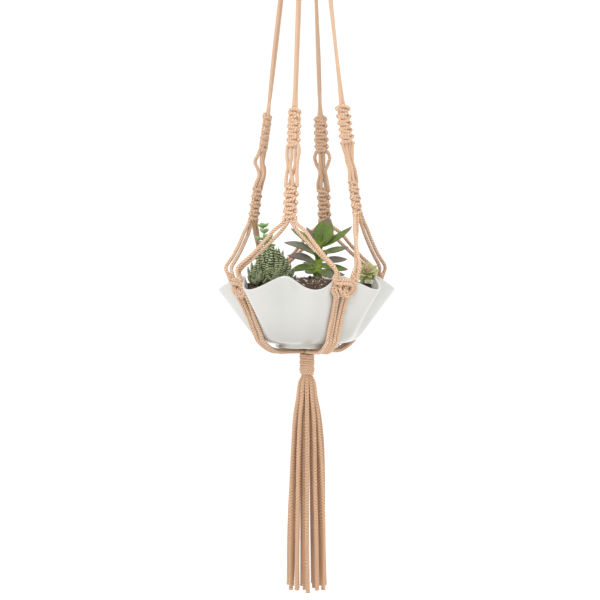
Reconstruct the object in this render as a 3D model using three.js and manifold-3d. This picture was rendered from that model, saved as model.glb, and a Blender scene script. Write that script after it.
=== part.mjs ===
// A pot hanger knotted from soft jute cord, holding a fluted glazed pot of succulents.
// Lengths are in millimetres and angles in degrees. +Z is up, and the origin is the hook's seat,
// under the top of the ring. Bearings turn from the front (-Y) towards the right (+X).
import * as THREE from 'three';
import { mergeVertices } from 'three/addons/utils/BufferGeometryUtils.js';
import Module from 'manifold-3d';

// Clearances.
const touch_gap = 0.3; // between pieces that rest on each other
const tuck_gap = 0.9; // between a knot and the cords that leave it at an angle
const seat_gap = 0.5; // between the pot and the soft knots and cords that hold it

// Cord. Knots, wraps and gathered cords take their sizes from it.
const cord_d = 5; // a cord pulled tight
const strand_d = 1.12 * cord_d; // a tassel strand, which hangs loose
const wrap_cord_d = 0.74 * cord_d; // the cord of a wrap, squeezed flat by its own turns

// Ring and crown.
const ring_wire = 5;
const ring_eye = 50;
const loops_drop = 13.5; // from the middle of the ring's lower wire to the crown wrap
const crown_core_r = 1.64 * cord_d; // the eight cords squeezed together
const crown_wrap_len = 28;

// Arms: each hangs from the crown, with an upper and a lower row of square knots.
const arms_bearing = -17.5; // of the front arm
const crown_exit_r = 1.6 * cord_d;
const top_cords_len = 427.5; // from the crown wrap down to the upper row
const upper_len = 52;
const open_len = 52.5; // between the two rows
const lower_len = 50.5;
const right_arm_rise = 8; // the right arm's knots were tied this much higher
const knot_row_w = 4.1 * cord_d; // four cords side by side
const knot_row_t = 2.2 * cord_d;
const upper_knots = 5;
const lower_knots = 4;
const loop_bow = 3.4; // how far the outer cords bow out between the rows
const legs_drop = 78.5; // from the lower row down to the rim knots

// Rim knots, tied with doubled cords: one in every second valley of the pot.
const rim_knot_w = 6.8 * cord_d;
const rim_knot_h = 6.6 * cord_d;
const rim_knot_t = 2.8 * cord_d;
const rim_knot_below_rim = 6; // its middle, below the middle of the rim's waves

// Pot: a round bowl with eight flutes that die out at its foot, and a wavy rim.
const pot_rim_h = 95.5; // above the foot, halfway up the rim's waves
const pot_rim_r = 119;
const pot_wall = 5;
const pot_lean = 28.4; // of the side, from the vertical
const pot_turn_h = 22; // where the side starts to turn in
const pot_foot_r = 46;
const pot_foot_w = 6;
const pot_foot_h = 4.5;
const drain_r = 6;
const flutes = 8;
const flute_depth = 12; // each way at the rim
const rim_wave = 9.5; // each way
const arms_inset = 39; // from the rim in to the ends of the arms
const arms_spread = 23; // from the tops of the upper rows out to the ends of the arms
const flute_bearing = 5; // of the front ridge
const soil_below_rim = 12.5; // where it meets the wall
const soil_mound = 15;
const pot_lift = 12; // how far the pot can be raised in its hanger

// Base: the four runs meet under the pot and go through the base wrap into the tassel.
const base_core_r = 1.44 * cord_d; // the sixteen cords squeezed together
const base_pad_r = 2.8 * cord_d;
const base_pad_t = 1.24 * cord_d;
const base_wrap_len = 33.3;
const swivel_above_end = 6; // from the end of the base wrap up to where the tassel swings
const swivel_r = 3.8 * cord_d; // the round end of the gathered cords

// Tassel.
const outer_strands = 11;
const inner_strands = 5;
const outer_root_r = 1.173 * outer_strands * strand_d / (2 * Math.PI); // side by side
const inner_root_r = outer_root_r - strand_d - touch_gap - 0.1;
const outer_end_r = 27;
const inner_end_r = 14.5;
const tassel_len = 314.7; // from the base wrap to its longest strand's end

const cord_look = { color: 0xd8b389, roughness: 0.95, metalness: 0 };
const wasm = await Module();
wasm.setup();
const part = new THREE.Group();

function addPiece(name, geometry, look) {
  const piece = new THREE.Mesh(geometry, new THREE.MeshStandardMaterial(look));
  piece.name = name;
  part.add(piece);
  return piece;
}

// ---- Joining and cutting.

function toSolid(geometry) {
  const bare = geometry.clone();
  bare.deleteAttribute('normal');
  bare.deleteAttribute('uv');
  const merged = mergeVertices(bare);
  return new wasm.Manifold(new wasm.Mesh({
    numProp: 3,
    vertProperties: new Float32Array(merged.attributes.position.array),
    triVerts: new Uint32Array(merged.index.array),
  }));
}

function toGeometry(solid) {
  const mesh = solid.getMesh();
  const geometry = new THREE.BufferGeometry();
  geometry.setAttribute('position', new THREE.BufferAttribute(mesh.vertProperties, 3));
  geometry.setIndex(new THREE.BufferAttribute(mesh.triVerts, 1));
  geometry.computeVertexNormals();
  return geometry;
}

function joined(geometries) {
  return toGeometry(geometries.map(toSolid).reduce((all, next) => all.add(next)));
}

// ---- Shapes that are used again.

function radians(degrees) {
  return THREE.MathUtils.degToRad(degrees);
}

function around(bearing, radius, z) {
  const angle = radians(bearing);
  return new THREE.Vector3(radius * Math.sin(angle), -radius * Math.cos(angle), z);
}

// A solid of revolution about +Z, from [radius, height] pairs that end on the axis or close.
function turned(outline, segments) {
  const points = outline.map(([radius, height]) => new THREE.Vector2(radius, height));
  return new THREE.LatheGeometry(points, segments).rotateX(Math.PI / 2);
}

// A curve through points whose sections keep their Y side along a side direction, which may
// turn from one to another on the way.
class LaidCurve extends THREE.CatmullRomCurve3 {
  constructor(points, side, end_side) {
    super(points);
    this.side = side;
    this.end_side = end_side;
  }

  computeFrenetFrames(steps) {
    const tangents = [];
    const normals = [];
    const binormals = [];
    for (let step = 0; step <= steps; step++) {
      const tangent = this.getTangentAt(step / steps);
      const side = this.side.clone().lerp(this.end_side, step / steps);
      const normal = side.cross(tangent).normalize();
      tangents.push(tangent);
      normals.push(normal);
      binormals.push(new THREE.Vector3().crossVectors(tangent, normal));
    }
    return { tangents, normals, binormals };
  }
}

// The outline of cords lying side by side: a flat strip with rounded edges.
function stripOutline(width, thickness) {
  const shape = new THREE.Shape();
  const half = width / 2 - thickness / 2;
  shape.absarc(0, half, thickness / 2, 0, Math.PI);
  shape.absarc(0, -half, thickness / 2, Math.PI, 2 * Math.PI);
  return shape;
}

function cordOutline(diameter) {
  const shape = new THREE.Shape();
  shape.absarc(0, 0, diameter / 2, 0, 2 * Math.PI);
  return shape;
}

function laid(outline, points, steps, side, end_side = side) {
  const path = new LaidCurve(points, side, end_side);
  const curveSegments = outline.curves.length > 1 ? 2 : 4;
  return new THREE.ExtrudeGeometry(outline, { steps, extrudePath: path, curveSegments });
}

// The turns of a wrapped knot, from top_z down, around a core.
function wrapSleeve(core_r, length, top_z) {
  const bore = core_r + touch_gap;
  const turns = Math.round(length / wrap_cord_d);
  const pitch = length / turns;
  const outline = [[bore, top_z - length]];
  for (let turn = 0; turn < turns; turn++) {
    const low = top_z - length + turn * pitch;
    outline.push([bore + wrap_cord_d * 0.75, low]);
    outline.push([bore + wrap_cord_d, low + pitch / 2]);
  }
  outline.push([bore + wrap_cord_d * 0.75, top_z], [bore, top_z], [bore, top_z - length]);
  return turned(outline, 14);
}

// A row of square knots seen face on: one lobe on each edge for every knot. It stands on its
// end at the origin, its width along X and its thickness along Y, and is bevelled all round.
function knotRow(width, thickness, length, knots) {
  const bevel = thickness * 0.28;
  const half = width / 2 - bevel;
  const waist = half * 0.82;
  const pitch = (length - 2 * bevel) / knots;
  const shape = new THREE.Shape();
  shape.moveTo(-waist, bevel);
  shape.lineTo(waist, bevel);
  for (let knot = 0; knot < knots; knot++) {
    const low = bevel + knot * pitch;
    shape.lineTo(half, low + pitch / 2);
    shape.lineTo(waist, low + pitch);
  }
  for (let knot = knots - 1; knot >= 0; knot--) {
    const low = bevel + knot * pitch;
    shape.lineTo(-waist, low + pitch);
    shape.lineTo(-half, low + pitch / 2);
  }
  const settings = {
    depth: thickness - 2 * bevel, steps: 1,
    bevelEnabled: true, bevelThickness: bevel, bevelSize: bevel, bevelSegments: 1,
  };
  const row = new THREE.ExtrudeGeometry(shape, settings);
  return row.translate(0, 0, bevel - thickness / 2).rotateX(Math.PI / 2);
}

// ---- Ring and crown.

const ring_mid_r = (ring_eye + ring_wire) / 2;
const swing_z = -ring_eye / 2 - ring_mid_r; // the middle of the ring's lower wire
const crown_top_z = swing_z - loops_drop;
const crown_end_z = crown_top_z - crown_wrap_len;
const core_end_z = crown_end_z - 1;
// The ring's wire curves up from its lowest point, so the loops on it need this much room.
const loops_half = 2 * cord_d;
const loop_slack = ring_eye / 2 - Math.sqrt((ring_eye / 2) ** 2 - loops_half ** 2) + touch_gap;

const lower_end_r = pot_rim_r - arms_inset;
const upper_top_r = lower_end_r - arms_spread;

// ---- Levels, from the crown down.

const upper_top_z = crown_end_z - top_cords_len;
const lower_top_z = upper_top_z - upper_len - open_len;
const lower_end_z = lower_top_z - lower_len;
const rim_knot_z = lower_end_z - legs_drop - rim_knot_h / 2;
const rim_knot_mid_h = pot_rim_h - rim_knot_below_rim; // above the pot's foot
const pot_foot_z = rim_knot_z - rim_knot_mid_h;
const soil_edge_h = pot_rim_h - soil_below_rim;

function hangingRing() {
  const ring = new THREE.TorusGeometry(ring_mid_r, ring_wire / 2, 8, 32);
  return ring.rotateX(Math.PI / 2).translate(0, 0, -ring_eye / 2);
}

// Four cords folded over the ring's lower wire, and their eight ends going down into the crown.
function ringLoops() {
  const bore = ring_wire / 2 + loop_slack;
  const outer = bore + cord_d;
  const shape = new THREE.Shape();
  shape.moveTo(-crown_core_r, -loops_drop + 1);
  shape.lineTo(crown_core_r, -loops_drop + 1);
  shape.lineTo(outer, 0);
  shape.absarc(0, 0, outer, 0, Math.PI);
  const eye = new THREE.Path();
  eye.moveTo(0, -loops_drop + 4);
  eye.lineTo(-bore, 0);
  eye.absarc(0, 0, bore, Math.PI, 0, true);
  shape.holes.push(eye);
  const arch = new THREE.ExtrudeGeometry(shape, {
    depth: 2 * loops_half, steps: 1, bevelEnabled: false, curveSegments: 10,
  });
  arch.translate(0, 0, -loops_half).rotateX(Math.PI / 2).rotateZ(Math.PI / 2);
  arch.translate(0, 0, swing_z);
  const core = turned([
    [0, core_end_z], [crown_core_r, core_end_z],
    [crown_core_r, crown_top_z + 4], [0, crown_top_z + 4],
  ], 14);
  return joined([arch, core]);
}

addPiece('hanging_ring', hangingRing(), { color: 0xb9b4a6, roughness: 0.35, metalness: 1 });
addPiece('ring_loops', ringLoops(), cord_look);
addPiece('crown_wrap', wrapSleeve(crown_core_r, crown_wrap_len, crown_top_z), cord_look);

// ---- Pot.

const body_base_h = pot_foot_h + 1.5;

// The middle radius of the outside at a height, before it is fluted.
function sideRadius(height) {
  return pot_rim_r - (pot_rim_h - height) * Math.tan(radians(pot_lean));
}

function valleyRadius(height) {
  return sideRadius(height) - flute_depth * fluteShare(height);
}

function fluteShare(height) {
  return THREE.MathUtils.clamp((height - body_base_h) / (pot_rim_h - body_base_h), 0, 1);
}

// Presses the flutes into a solid of revolution that stands at the foot's height.
function fluted(geometry) {
  const position = geometry.attributes.position;
  for (let i = 0; i < position.count; i++) {
    const x = position.getX(i);
    const y = position.getY(i);
    const height = position.getZ(i) - pot_foot_z;
    const radius = Math.hypot(x, y);
    const reach = Math.min(1, radius / (sideRadius(height) - 2 * pot_wall));
    const share = fluteShare(height);
    const wave = Math.cos(flutes * (Math.atan2(x, -y) - radians(flute_bearing)));
    const grown = radius > 0 ? 1 + wave * flute_depth * share * reach / radius : 1;
    const drop = wave * rim_wave * share * reach;
    position.setXYZ(i, x * grown, y * grown, position.getZ(i) - drop);
  }
  return geometry;
}

function atFoot(outline) {
  return outline.map(([radius, height]) => [radius, height + pot_foot_z]);
}

// The rounded turn from the foot up to where the side becomes straight, a wall further in or out.
function lowerTurn(inset, start_r, start_h) {
  const end_h = pot_turn_h + inset / 2;
  const end = new THREE.Vector2(sideRadius(end_h) - inset, end_h);
  const corner = new THREE.Vector2(sideRadius(start_h) - inset, start_h);
  const curve = new THREE.QuadraticBezierCurve(new THREE.Vector2(start_r, start_h), corner, end);
  return curve.getPoints(3).map((point) => [point.x, point.y]);
}

// The outside of the pot, grown by a gap, carried on above its rim and closed across its top.
function potOutside(gap, above = 0) {
  const collar = above > 0 ? [[pot_rim_r + gap, pot_rim_h + gap + above]] : [];
  return toSolid(fluted(turned(atFoot([
    [0, -gap],
    [pot_foot_r + gap, -gap],
    ...lowerTurn(-gap, pot_foot_r + 4, body_base_h - gap),
    [pot_rim_r + gap, pot_rim_h + gap],
    ...collar,
    [0, pot_rim_h + gap + above],
  ]), flutes * 6)));
}

// The space inside the pot, shrunk by a gap and carried on above its rim.
function potInside(gap) {
  const inset = pot_wall + gap;
  const above_h = pot_rim_h + pot_wall;
  return toSolid(fluted(turned(atFoot([
    [0, body_base_h + inset],
    ...lowerTurn(inset, pot_foot_r - 2, body_base_h + inset),
    [sideRadius(above_h) - inset, above_h],
    [0, above_h],
  ]), flutes * 6)));
}

function pot() {
  const recess_r = pot_foot_r - pot_foot_w;
  const under = toSolid(turned(atFoot([
    [0, -1],
    [recess_r, -1],
    [recess_r, pot_foot_h],
    [drain_r, pot_foot_h],
    [drain_r, body_base_h + 2 * pot_wall],
    [0, body_base_h + 2 * pot_wall],
  ]), flutes * 3));
  return toGeometry(potOutside(0).subtract(potInside(0)).subtract(under));
}

function soil() {
  const edge_r = sideRadius(soil_edge_h) - pot_wall;
  const heap = toSolid(turned(atFoot([
    [0, 0],
    [pot_rim_r + flute_depth, 0],
    [pot_rim_r + flute_depth, soil_edge_h],
    [edge_r, soil_edge_h],
    [edge_r * 0.7, soil_edge_h + soil_mound * 0.75],
    [0, soil_edge_h + soil_mound],
  ]), flutes * 3));
  return toGeometry(potInside(touch_gap).intersect(heap));
}

addPiece('pot', pot(), { color: 0xe9e8e3, roughness: 0.18, metalness: 0 });
addPiece('soil', soil(), { color: 0x3b2a20, roughness: 1, metalness: 0 });
const pot_clearance = potOutside(seat_gap, pot_lift);

function clearOfPot(geometry) {
  return toGeometry(toSolid(geometry).subtract(pot_clearance));
}

// ---- Arms.

const arms = [
  { name: 'front', bearing: arms_bearing, rise: 0 },
  { name: 'right', bearing: arms_bearing + 90, rise: right_arm_rise },
  { name: 'back', bearing: arms_bearing + 180, rise: 0 },
  { name: 'left', bearing: arms_bearing + 270, rise: 0 },
];

// Where an arm's middle line passes a height: straight to its upper row, then straight to its end.
function armPoint(arm, z) {
  const knee_z = upper_top_z + arm.rise;
  const upper = (core_end_z - z) / (core_end_z - knee_z);
  const lower = (knee_z - z) / (upper_top_z - lower_end_z);
  const radius = z > knee_z
    ? THREE.MathUtils.lerp(crown_exit_r, upper_top_r, upper)
    : THREE.MathUtils.lerp(upper_top_r, lower_end_r, lower);
  return around(arm.bearing, radius, z);
}

function sideways(bearing) {
  return around(bearing + 90, 1, 0);
}

// Stands a knot row, made along +Z, between two heights of an arm.
function placeRow(row, foot, head, side) {
  const up = head.clone().sub(foot).normalize();
  const inward = new THREE.Vector3().crossVectors(up, side).normalize();
  const turn = new THREE.Matrix4().makeBasis(side, inward, up);
  return row.applyMatrix4(turn.setPosition(foot));
}

function armRow(arm, top_z, length, knots) {
  const row = knotRow(knot_row_w, knot_row_t, length, knots);
  const head = armPoint(arm, top_z + arm.rise);
  const foot = armPoint(arm, top_z + arm.rise - length);
  row.scale(1, 1, foot.distanceTo(head) / length);
  return placeRow(row, foot, head, sideways(arm.bearing));
}

function topCords(arm) {
  const start = armPoint(arm, core_end_z - touch_gap);
  const end = armPoint(arm, upper_top_z + arm.rise + touch_gap);
  const outline = stripOutline(2 * cord_d, cord_d);
  return laid(outline, [start, end], 2, sideways(arm.bearing));
}

// Four cords side by side between the two rows: the outer two bow out, then close in.
function openCords(arm) {
  const top_z = upper_top_z + arm.rise - upper_len - tuck_gap;
  const end_z = lower_top_z + arm.rise + tuck_gap;
  const side = sideways(arm.bearing);
  const cords = [-1.5, -0.5, 0.5, 1.5].map((place) => {
    const outer = Math.abs(place) > 1 ? Math.sign(place) : 0;
    const spread = [
      [0, 0], [0.22, loop_bow * outer], [0.55, -loop_bow * 0.7 * outer], [0.8, 0], [1, 0],
    ];
    const points = spread.map(([share, bow]) => {
      const z = THREE.MathUtils.lerp(top_z, end_z, share);
      return armPoint(arm, z).addScaledVector(side, place * cord_d * 0.94 + bow);
    });
    return laid(cordOutline(cord_d), points, 7, side);
  });
  return joined(cords);
}

for (const arm of arms) {
  addPiece(`${arm.name}_top_cords`, topCords(arm), cord_look);
  addPiece(`${arm.name}_upper_knots`, armRow(arm, upper_top_z, upper_len, upper_knots), cord_look);
  addPiece(`${arm.name}_open_cords`, openCords(arm), cord_look);
  addPiece(`${arm.name}_lower_knots`, armRow(arm, lower_top_z, lower_len, lower_knots), cord_look);
}

// ---- Rim knots, the legs that come down to them and the runs that go on under the pot.

const rim_knot_r = valleyRadius(rim_knot_mid_h) + rim_knot_t / 2;
const rim_knot_lean = (valleyRadius(rim_knot_mid_h) - valleyRadius(rim_knot_mid_h - 20)) / 20;
const corners = [
  { name: 'front_right', bearing: arms_bearing + 45, from_left: arms[0], from_right: arms[1] },
  { name: 'back_right', bearing: arms_bearing + 135, from_left: arms[1], from_right: arms[2] },
  { name: 'back_left', bearing: arms_bearing + 225, from_left: arms[2], from_right: arms[3] },
  { name: 'front_left', bearing: arms_bearing + 315, from_left: arms[3], from_right: arms[0] },
];

// The middle of a rim knot's thickness at a height above or below its own middle.
function rimKnotPoint(corner, above) {
  return around(corner.bearing, rim_knot_r + above * rim_knot_lean, rim_knot_z + above);
}

function rimKnot(corner) {
  const knot = knotRow(rim_knot_w, rim_knot_t, rim_knot_h, 2);
  const foot = rimKnotPoint(corner, -rim_knot_h / 2);
  const head = rimKnotPoint(corner, rim_knot_h / 2);
  knot.scale(1, 1, foot.distanceTo(head) / rim_knot_h);
  return clearOfPot(placeRow(knot, foot, head, sideways(corner.bearing)));
}

// A pair of cords from the end of an arm to the top of a rim knot.
function leg(arm, corner, hand) {
  const arm_side = sideways(arm.bearing);
  const end_z = lower_end_z + arm.rise;
  const offset = cord_d + touch_gap;
  const start = armPoint(arm, end_z - tuck_gap).addScaledVector(arm_side, offset * hand);
  const next = armPoint(arm, end_z - 7).addScaledVector(arm_side, offset * 1.15 * hand);
  const corner_side = sideways(corner.bearing);
  const end = rimKnotPoint(corner, rim_knot_h / 2 + tuck_gap);
  end.addScaledVector(corner_side, -offset * hand);
  const before = rimKnotPoint(corner, rim_knot_h / 2 + 7);
  before.addScaledVector(corner_side, -offset * 1.15 * hand);
  const outline = stripOutline(2 * cord_d, cord_d);
  return laid(outline, [start, next, before, end], 6, arm_side, corner_side);
}

// Four cords side by side from a rim knot, down the valley, round the foot and in to the base.
function basketRun(corner) {
  const proud = cord_d / 2 + 2.2;
  const start = rimKnotPoint(corner, -rim_knot_h / 2 - tuck_gap);
  const under_h = -seat_gap - cord_d / 2;
  const down = [62, 44, 26].map((height) => [valleyRadius(height) + proud, height]);
  const round_foot = [
    [sideRadius(13) + 1, 11],
    [pot_foot_r + 13, 1.2],
    [pot_foot_r + 1, under_h],
    [pot_foot_r - 16, under_h],
    [base_pad_r + touch_gap, under_h],
  ];
  const points = [...down, ...round_foot].map(
    ([radius, height]) => around(corner.bearing, radius, pot_foot_z + height),
  );
  const strip = stripOutline(4 * cord_d, cord_d);
  return clearOfPot(laid(strip, [start, ...points], 14, sideways(corner.bearing)));
}

for (const corner of corners) {
  addPiece(`${corner.name}_rim_knot`, rimKnot(corner), cord_look);
  addPiece(`${corner.name}_leg_a`, leg(corner.from_left, corner, 1), cord_look);
  addPiece(`${corner.name}_leg_b`, leg(corner.from_right, corner, -1), cord_look);
  addPiece(`${corner.name}_basket_run`, basketRun(corner), cord_look);
}

// ---- Base and tassel.

const pad_top_z = pot_foot_z - seat_gap;
const base_top_z = pad_top_z - base_pad_t - touch_gap;
const base_end_z = base_top_z - base_wrap_len;
const swivel_z = base_end_z + swivel_above_end;
const tassel_end_z = base_end_z - tassel_len;

// The sixteen cords gathered under the pot, ending in a round face about the swivel.
function baseGather() {
  const flare_r = outer_root_r + strand_d / 2 - 1;
  const outline = [
    [0, swivel_z - swivel_r],
    ...[0.35, 0.7, 1].map((share) => {
      const radius = flare_r * share;
      return [radius, swivel_z - Math.sqrt(swivel_r ** 2 - radius ** 2)];
    }),
    [base_core_r, base_end_z],
    [base_core_r, base_top_z],
    [base_pad_r, base_top_z + touch_gap],
    [base_pad_r, pad_top_z],
    [0, pad_top_z],
  ];
  return turned(outline, 14);
}

addPiece('base_gather', baseGather(), cord_look);
addPiece('base_wrap', wrapSleeve(base_core_r, base_wrap_len, base_top_z), cord_look);

// How a strand spreads on its way down: [share of its drop, share of its spread].
const strand_fall = [
  [0, 0], [0.03, 0.02], [0.08, 0.12], [0.16, 0.4], [0.28, 0.62], [0.45, 0.76], [0.7, 0.88], [1, 1],
];
// How much shorter each strand was cut, and how far it drifts sideways by its end.
const strand_trims = [0, 3, 1, 5, 2, 4, 0, 2, 6, 1, 3, 2, 5, 0, 4, 1];
const strand_drifts = [2, -2, 1, 3, -1, -3, 0, 2, -2, 1, -1, 3, -4, 2, 0, 4];

function strand(index) {
  const outer = index < outer_strands;
  const place = outer ? index : index - outer_strands;
  const bearing = place * 360 / (outer ? outer_strands : inner_strands) + (outer ? 0 : -16);
  const root_r = outer ? outer_root_r : inner_root_r;
  const end_r = outer ? outer_end_r : inner_end_r;
  const edge_r = root_r - strand_d / 2;
  const root_z = swivel_z - Math.sqrt((swivel_r + touch_gap) ** 2 - edge_r ** 2) - touch_gap;
  const points = strand_fall.map(([drop, spread]) => {
    const z = THREE.MathUtils.lerp(root_z, tassel_end_z + strand_trims[index], drop);
    const radius = THREE.MathUtils.lerp(root_r, end_r, spread);
    return around(bearing + strand_drifts[index] * drop, radius, z);
  });
  return laid(cordOutline(strand_d), points, 8, sideways(bearing));
}

for (let index = 0; index < outer_strands + inner_strands; index++) {
  addPiece(`tassel_strand_${String(index + 1).padStart(2, '0')}`, strand(index), cord_look);
}

// ---- Plants: each grows from the soil at a spot of its own.

// The height of the soil's top at a distance from the pot's middle.
function soilHeight(radius) {
  const edge_r = sideRadius(soil_edge_h) - pot_wall - touch_gap;
  const share = radius / edge_r;
  const inner = soil_mound - soil_mound * 0.25 * (share / 0.7);
  const outer = soil_mound * 0.75 * (1 - share) / 0.3;
  return soil_edge_h + (share < 0.7 ? inner : outer);
}

// How far from the pot's middle there is room inside its valleys at the rim.
const plants_r = valleyRadius(pot_rim_h) - pot_wall;

// A plant's rough outer shape, from [radius, height] pairs, at a share of that reach and a bearing.
function plant(outline, reach, bearing) {
  const radius = reach * plants_r;
  const root_z = pot_foot_z + soilHeight(radius) + 2 * touch_gap + 3;
  const root = around(bearing, radius, root_z);
  return turned(outline, 12).translate(root.x, root.y, root.z);
}

const leaf_green = { color: 0x5f7f45, roughness: 0.6, metalness: 0 };
addPiece('stacked_crassula', plant([
  [0, 0], [4, 0], [10, 14], [7, 30], [10.5, 46], [7, 60], [10, 74], [0, 84],
], 0.594, 262.4), { color: 0x7fae7d, roughness: 0.55, metalness: 0 });
addPiece('zebra_haworthia', plant([
  [0, 0], [8, 0], [28, 9], [24, 30], [9, 56], [0, 58],
], 0.649, 308.3), { color: 0x3f5a34, roughness: 0.5, metalness: 0 });
addPiece('branched_aeonium', plant([
  [0, 0], [6, 0], [16, 14], [46, 34], [42, 58], [22, 82], [0, 88],
], 0.164, 72.6), leaf_green);
addPiece('pale_echeveria', plant([
  [0, 0], [5, 0], [16.5, 9], [15, 20], [6, 27], [0, 27],
], 0.815, 71.8), { color: 0x9fc08a, roughness: 0.55, metalness: 0 });

export default part;
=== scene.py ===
"""A hanging macrame planter: knotted jute cord round a fluted glazed pot of succulents."""
import math

import bmesh
import bpy
import numpy as np
from bpy.props import FloatProperty, FloatVectorProperty, IntProperty, PointerProperty
from mathutils import Matrix, Vector, noise


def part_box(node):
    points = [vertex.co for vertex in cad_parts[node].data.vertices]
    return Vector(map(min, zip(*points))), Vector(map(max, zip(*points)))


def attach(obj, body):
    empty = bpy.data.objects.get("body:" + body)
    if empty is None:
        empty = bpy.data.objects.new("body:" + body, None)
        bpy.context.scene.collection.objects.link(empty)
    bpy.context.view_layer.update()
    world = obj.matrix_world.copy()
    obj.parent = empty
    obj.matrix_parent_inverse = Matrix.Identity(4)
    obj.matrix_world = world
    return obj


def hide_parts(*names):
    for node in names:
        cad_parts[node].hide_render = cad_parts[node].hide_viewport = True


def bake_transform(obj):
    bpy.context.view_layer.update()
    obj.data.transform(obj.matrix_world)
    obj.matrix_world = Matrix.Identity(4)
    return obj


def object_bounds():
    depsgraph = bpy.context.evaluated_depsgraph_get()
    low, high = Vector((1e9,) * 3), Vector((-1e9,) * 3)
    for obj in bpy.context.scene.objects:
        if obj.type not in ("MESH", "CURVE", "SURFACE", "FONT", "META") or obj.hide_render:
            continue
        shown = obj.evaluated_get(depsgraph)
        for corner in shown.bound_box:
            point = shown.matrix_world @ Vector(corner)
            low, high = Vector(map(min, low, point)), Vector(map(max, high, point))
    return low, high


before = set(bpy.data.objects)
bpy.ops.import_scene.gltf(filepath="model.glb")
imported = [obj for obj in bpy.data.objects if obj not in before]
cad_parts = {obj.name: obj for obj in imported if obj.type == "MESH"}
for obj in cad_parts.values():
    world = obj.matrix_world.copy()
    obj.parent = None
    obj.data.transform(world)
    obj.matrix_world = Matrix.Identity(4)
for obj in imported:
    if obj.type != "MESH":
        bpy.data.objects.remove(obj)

bl_info = {
    "name": "Hanging macrame planter",
    "version": (1, 0, 0),
    "blender": (4, 5, 0),
    "location": "3D View > Sidebar > Planter",
    "description": "Makes a knotted jute pot hanger with its pot and plants",
    "category": "Add Mesh",
}

CAD_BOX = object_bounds()
ARMS = ("front", "right", "back", "left")
# The arms to the left and to the right of each corner, seen from outside.
CORNERS = {
    "front_right": ("front", "right"), "back_right": ("right", "back"),
    "back_left": ("back", "left"), "front_left": ("left", "front"),
}
POT_LOW, POT_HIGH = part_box("pot")
SOIL_LOW, SOIL_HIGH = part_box("soil")
RING_WIRE = 0.005
RING_STEPS = 112
WIRE_SIDES = 20
BOWL_STEPS = 288
CORD_SIDES = 12
FIBRE_SIDES = 4
STITCH_SLANT = 0.45
FULL_TURN = 2 * math.pi
GOLDEN_ANGLE = 2.39996


# ---- Settings.

def distance_prop(name, text, metres):
    return FloatProperty(name=name, description=text, default=metres, unit="LENGTH")


def angle_prop(name, text, degrees):
    return FloatProperty(
        name=name, description=text, default=math.radians(degrees), subtype="ANGLE")


def colour_prop(name, text, shown):
    return FloatVectorProperty(
        name=name, description=text, size=3, subtype="COLOR_GAMMA", default=shown)


class PlanterCords(bpy.types.PropertyGroup):
    """The jute cord and how it is plaited."""

    diameter: distance_prop("Cord", "Diameter of a cord pulled tight", 0.0052)
    strand: distance_prop("Strand", "Diameter of a tassel strand", 0.0062)
    wrap: distance_prop("Wrap cord", "Diameter of the cord in a wrap", 0.0038)
    stitch: FloatProperty(
        name="Stitch", description="Length of one plait stitch, in diameters", default=0.68)
    step: distance_prop("Step", "Distance between the rings of a cord's mesh", 0.0011)
    fray: FloatProperty(
        name="Fray", description="Stray fibres along a metre of cord", default=260)
    light: colour_prop("Fibre", "Colour of the fibre in the light", (0.96, 0.805, 0.675))
    # The crease colour is painted shade, put deep between the stitches.
    dark: colour_prop("Crease", "Colour deep between the stitches", (0.60, 0.40, 0.245))


class PlanterKnots(bpy.types.PropertyGroup):
    """The rows of square knots and the rim knots."""

    upper: IntProperty(name="Upper knots", description="Square knots in an upper row", default=5)
    lower: IntProperty(name="Lower knots", description="Square knots in a lower row", default=4)
    half_width: distance_prop(
        "Half width", "From a row's middle to the middle of a side loop", 0.0076)
    depth: distance_prop("Depth", "How far the working cords pass from the straight ones", 0.0037)


class PlanterPot(bpy.types.PropertyGroup):
    """The fluted bowl."""

    rim_radius: distance_prop("Rim radius", "Middle of the flutes at the rim", 0.119)
    rim_height: distance_prop("Rim height", "Above the foot, halfway up the waves", 0.0955)
    wall: distance_prop("Wall", "Wall thickness", 0.005)
    lean: angle_prop("Lean", "Lean of the side from the vertical", 28.4)
    turn_height: distance_prop("Turn", "Where the side starts to turn in", 0.022)
    foot_radius: distance_prop("Foot radius", "Outside of the foot ring", 0.046)
    foot_height: distance_prop("Foot height", "Depth of the recess under it", 0.0045)
    base_height: distance_prop("Base height", "Where the flutes die out", 0.006)
    flutes: IntProperty(name="Flutes", description="Ridges round the bowl", default=8)
    flute_depth: distance_prop("Flute depth", "In and out at the rim", 0.012)
    rim_wave: distance_prop("Rim wave", "Up and down at the rim", 0.0095)
    flute_bearing: angle_prop("Flute bearing", "Bearing of the front ridge", 5)
    glaze: colour_prop("Glaze", "Colour of the glaze", (0.79, 0.787, 0.772))


class PlanterPlants(bpy.types.PropertyGroup):
    """The colours of the planting."""

    soil: colour_prop("Soil", "Dark part of the potting mix", (0.25, 0.17, 0.10))
    crassula: colour_prop("Crassula", "Leaf of the stacked crassula", (0.50, 0.66, 0.40))
    haworthia: colour_prop("Haworthia", "Leaf of the banded haworthia", (0.20, 0.25, 0.085))
    aeonium: colour_prop("Aeonium", "Leaf of the branched aeonium", (0.40, 0.50, 0.20))
    echeveria: colour_prop("Echeveria", "Leaf of the pale echeveria", (0.68, 0.72, 0.48))


SETTINGS = {
    "planter_cords": PlanterCords,
    "planter_knots": PlanterKnots,
    "planter_pot": PlanterPot,
    "planter_plants": PlanterPlants,
}


def settings(name):
    """A group of the planter's settings, by its short name."""
    return getattr(bpy.context.scene, "planter_" + name)


# ---- Material nodes.

def linear(colour):
    """A colour from a setting, as a material's socket takes it."""
    parts = [c / 12.92 if c <= 0.04045 else ((c + 0.055) / 1.055) ** 2.4 for c in colour]
    return (*parts, 1.0)


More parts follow.
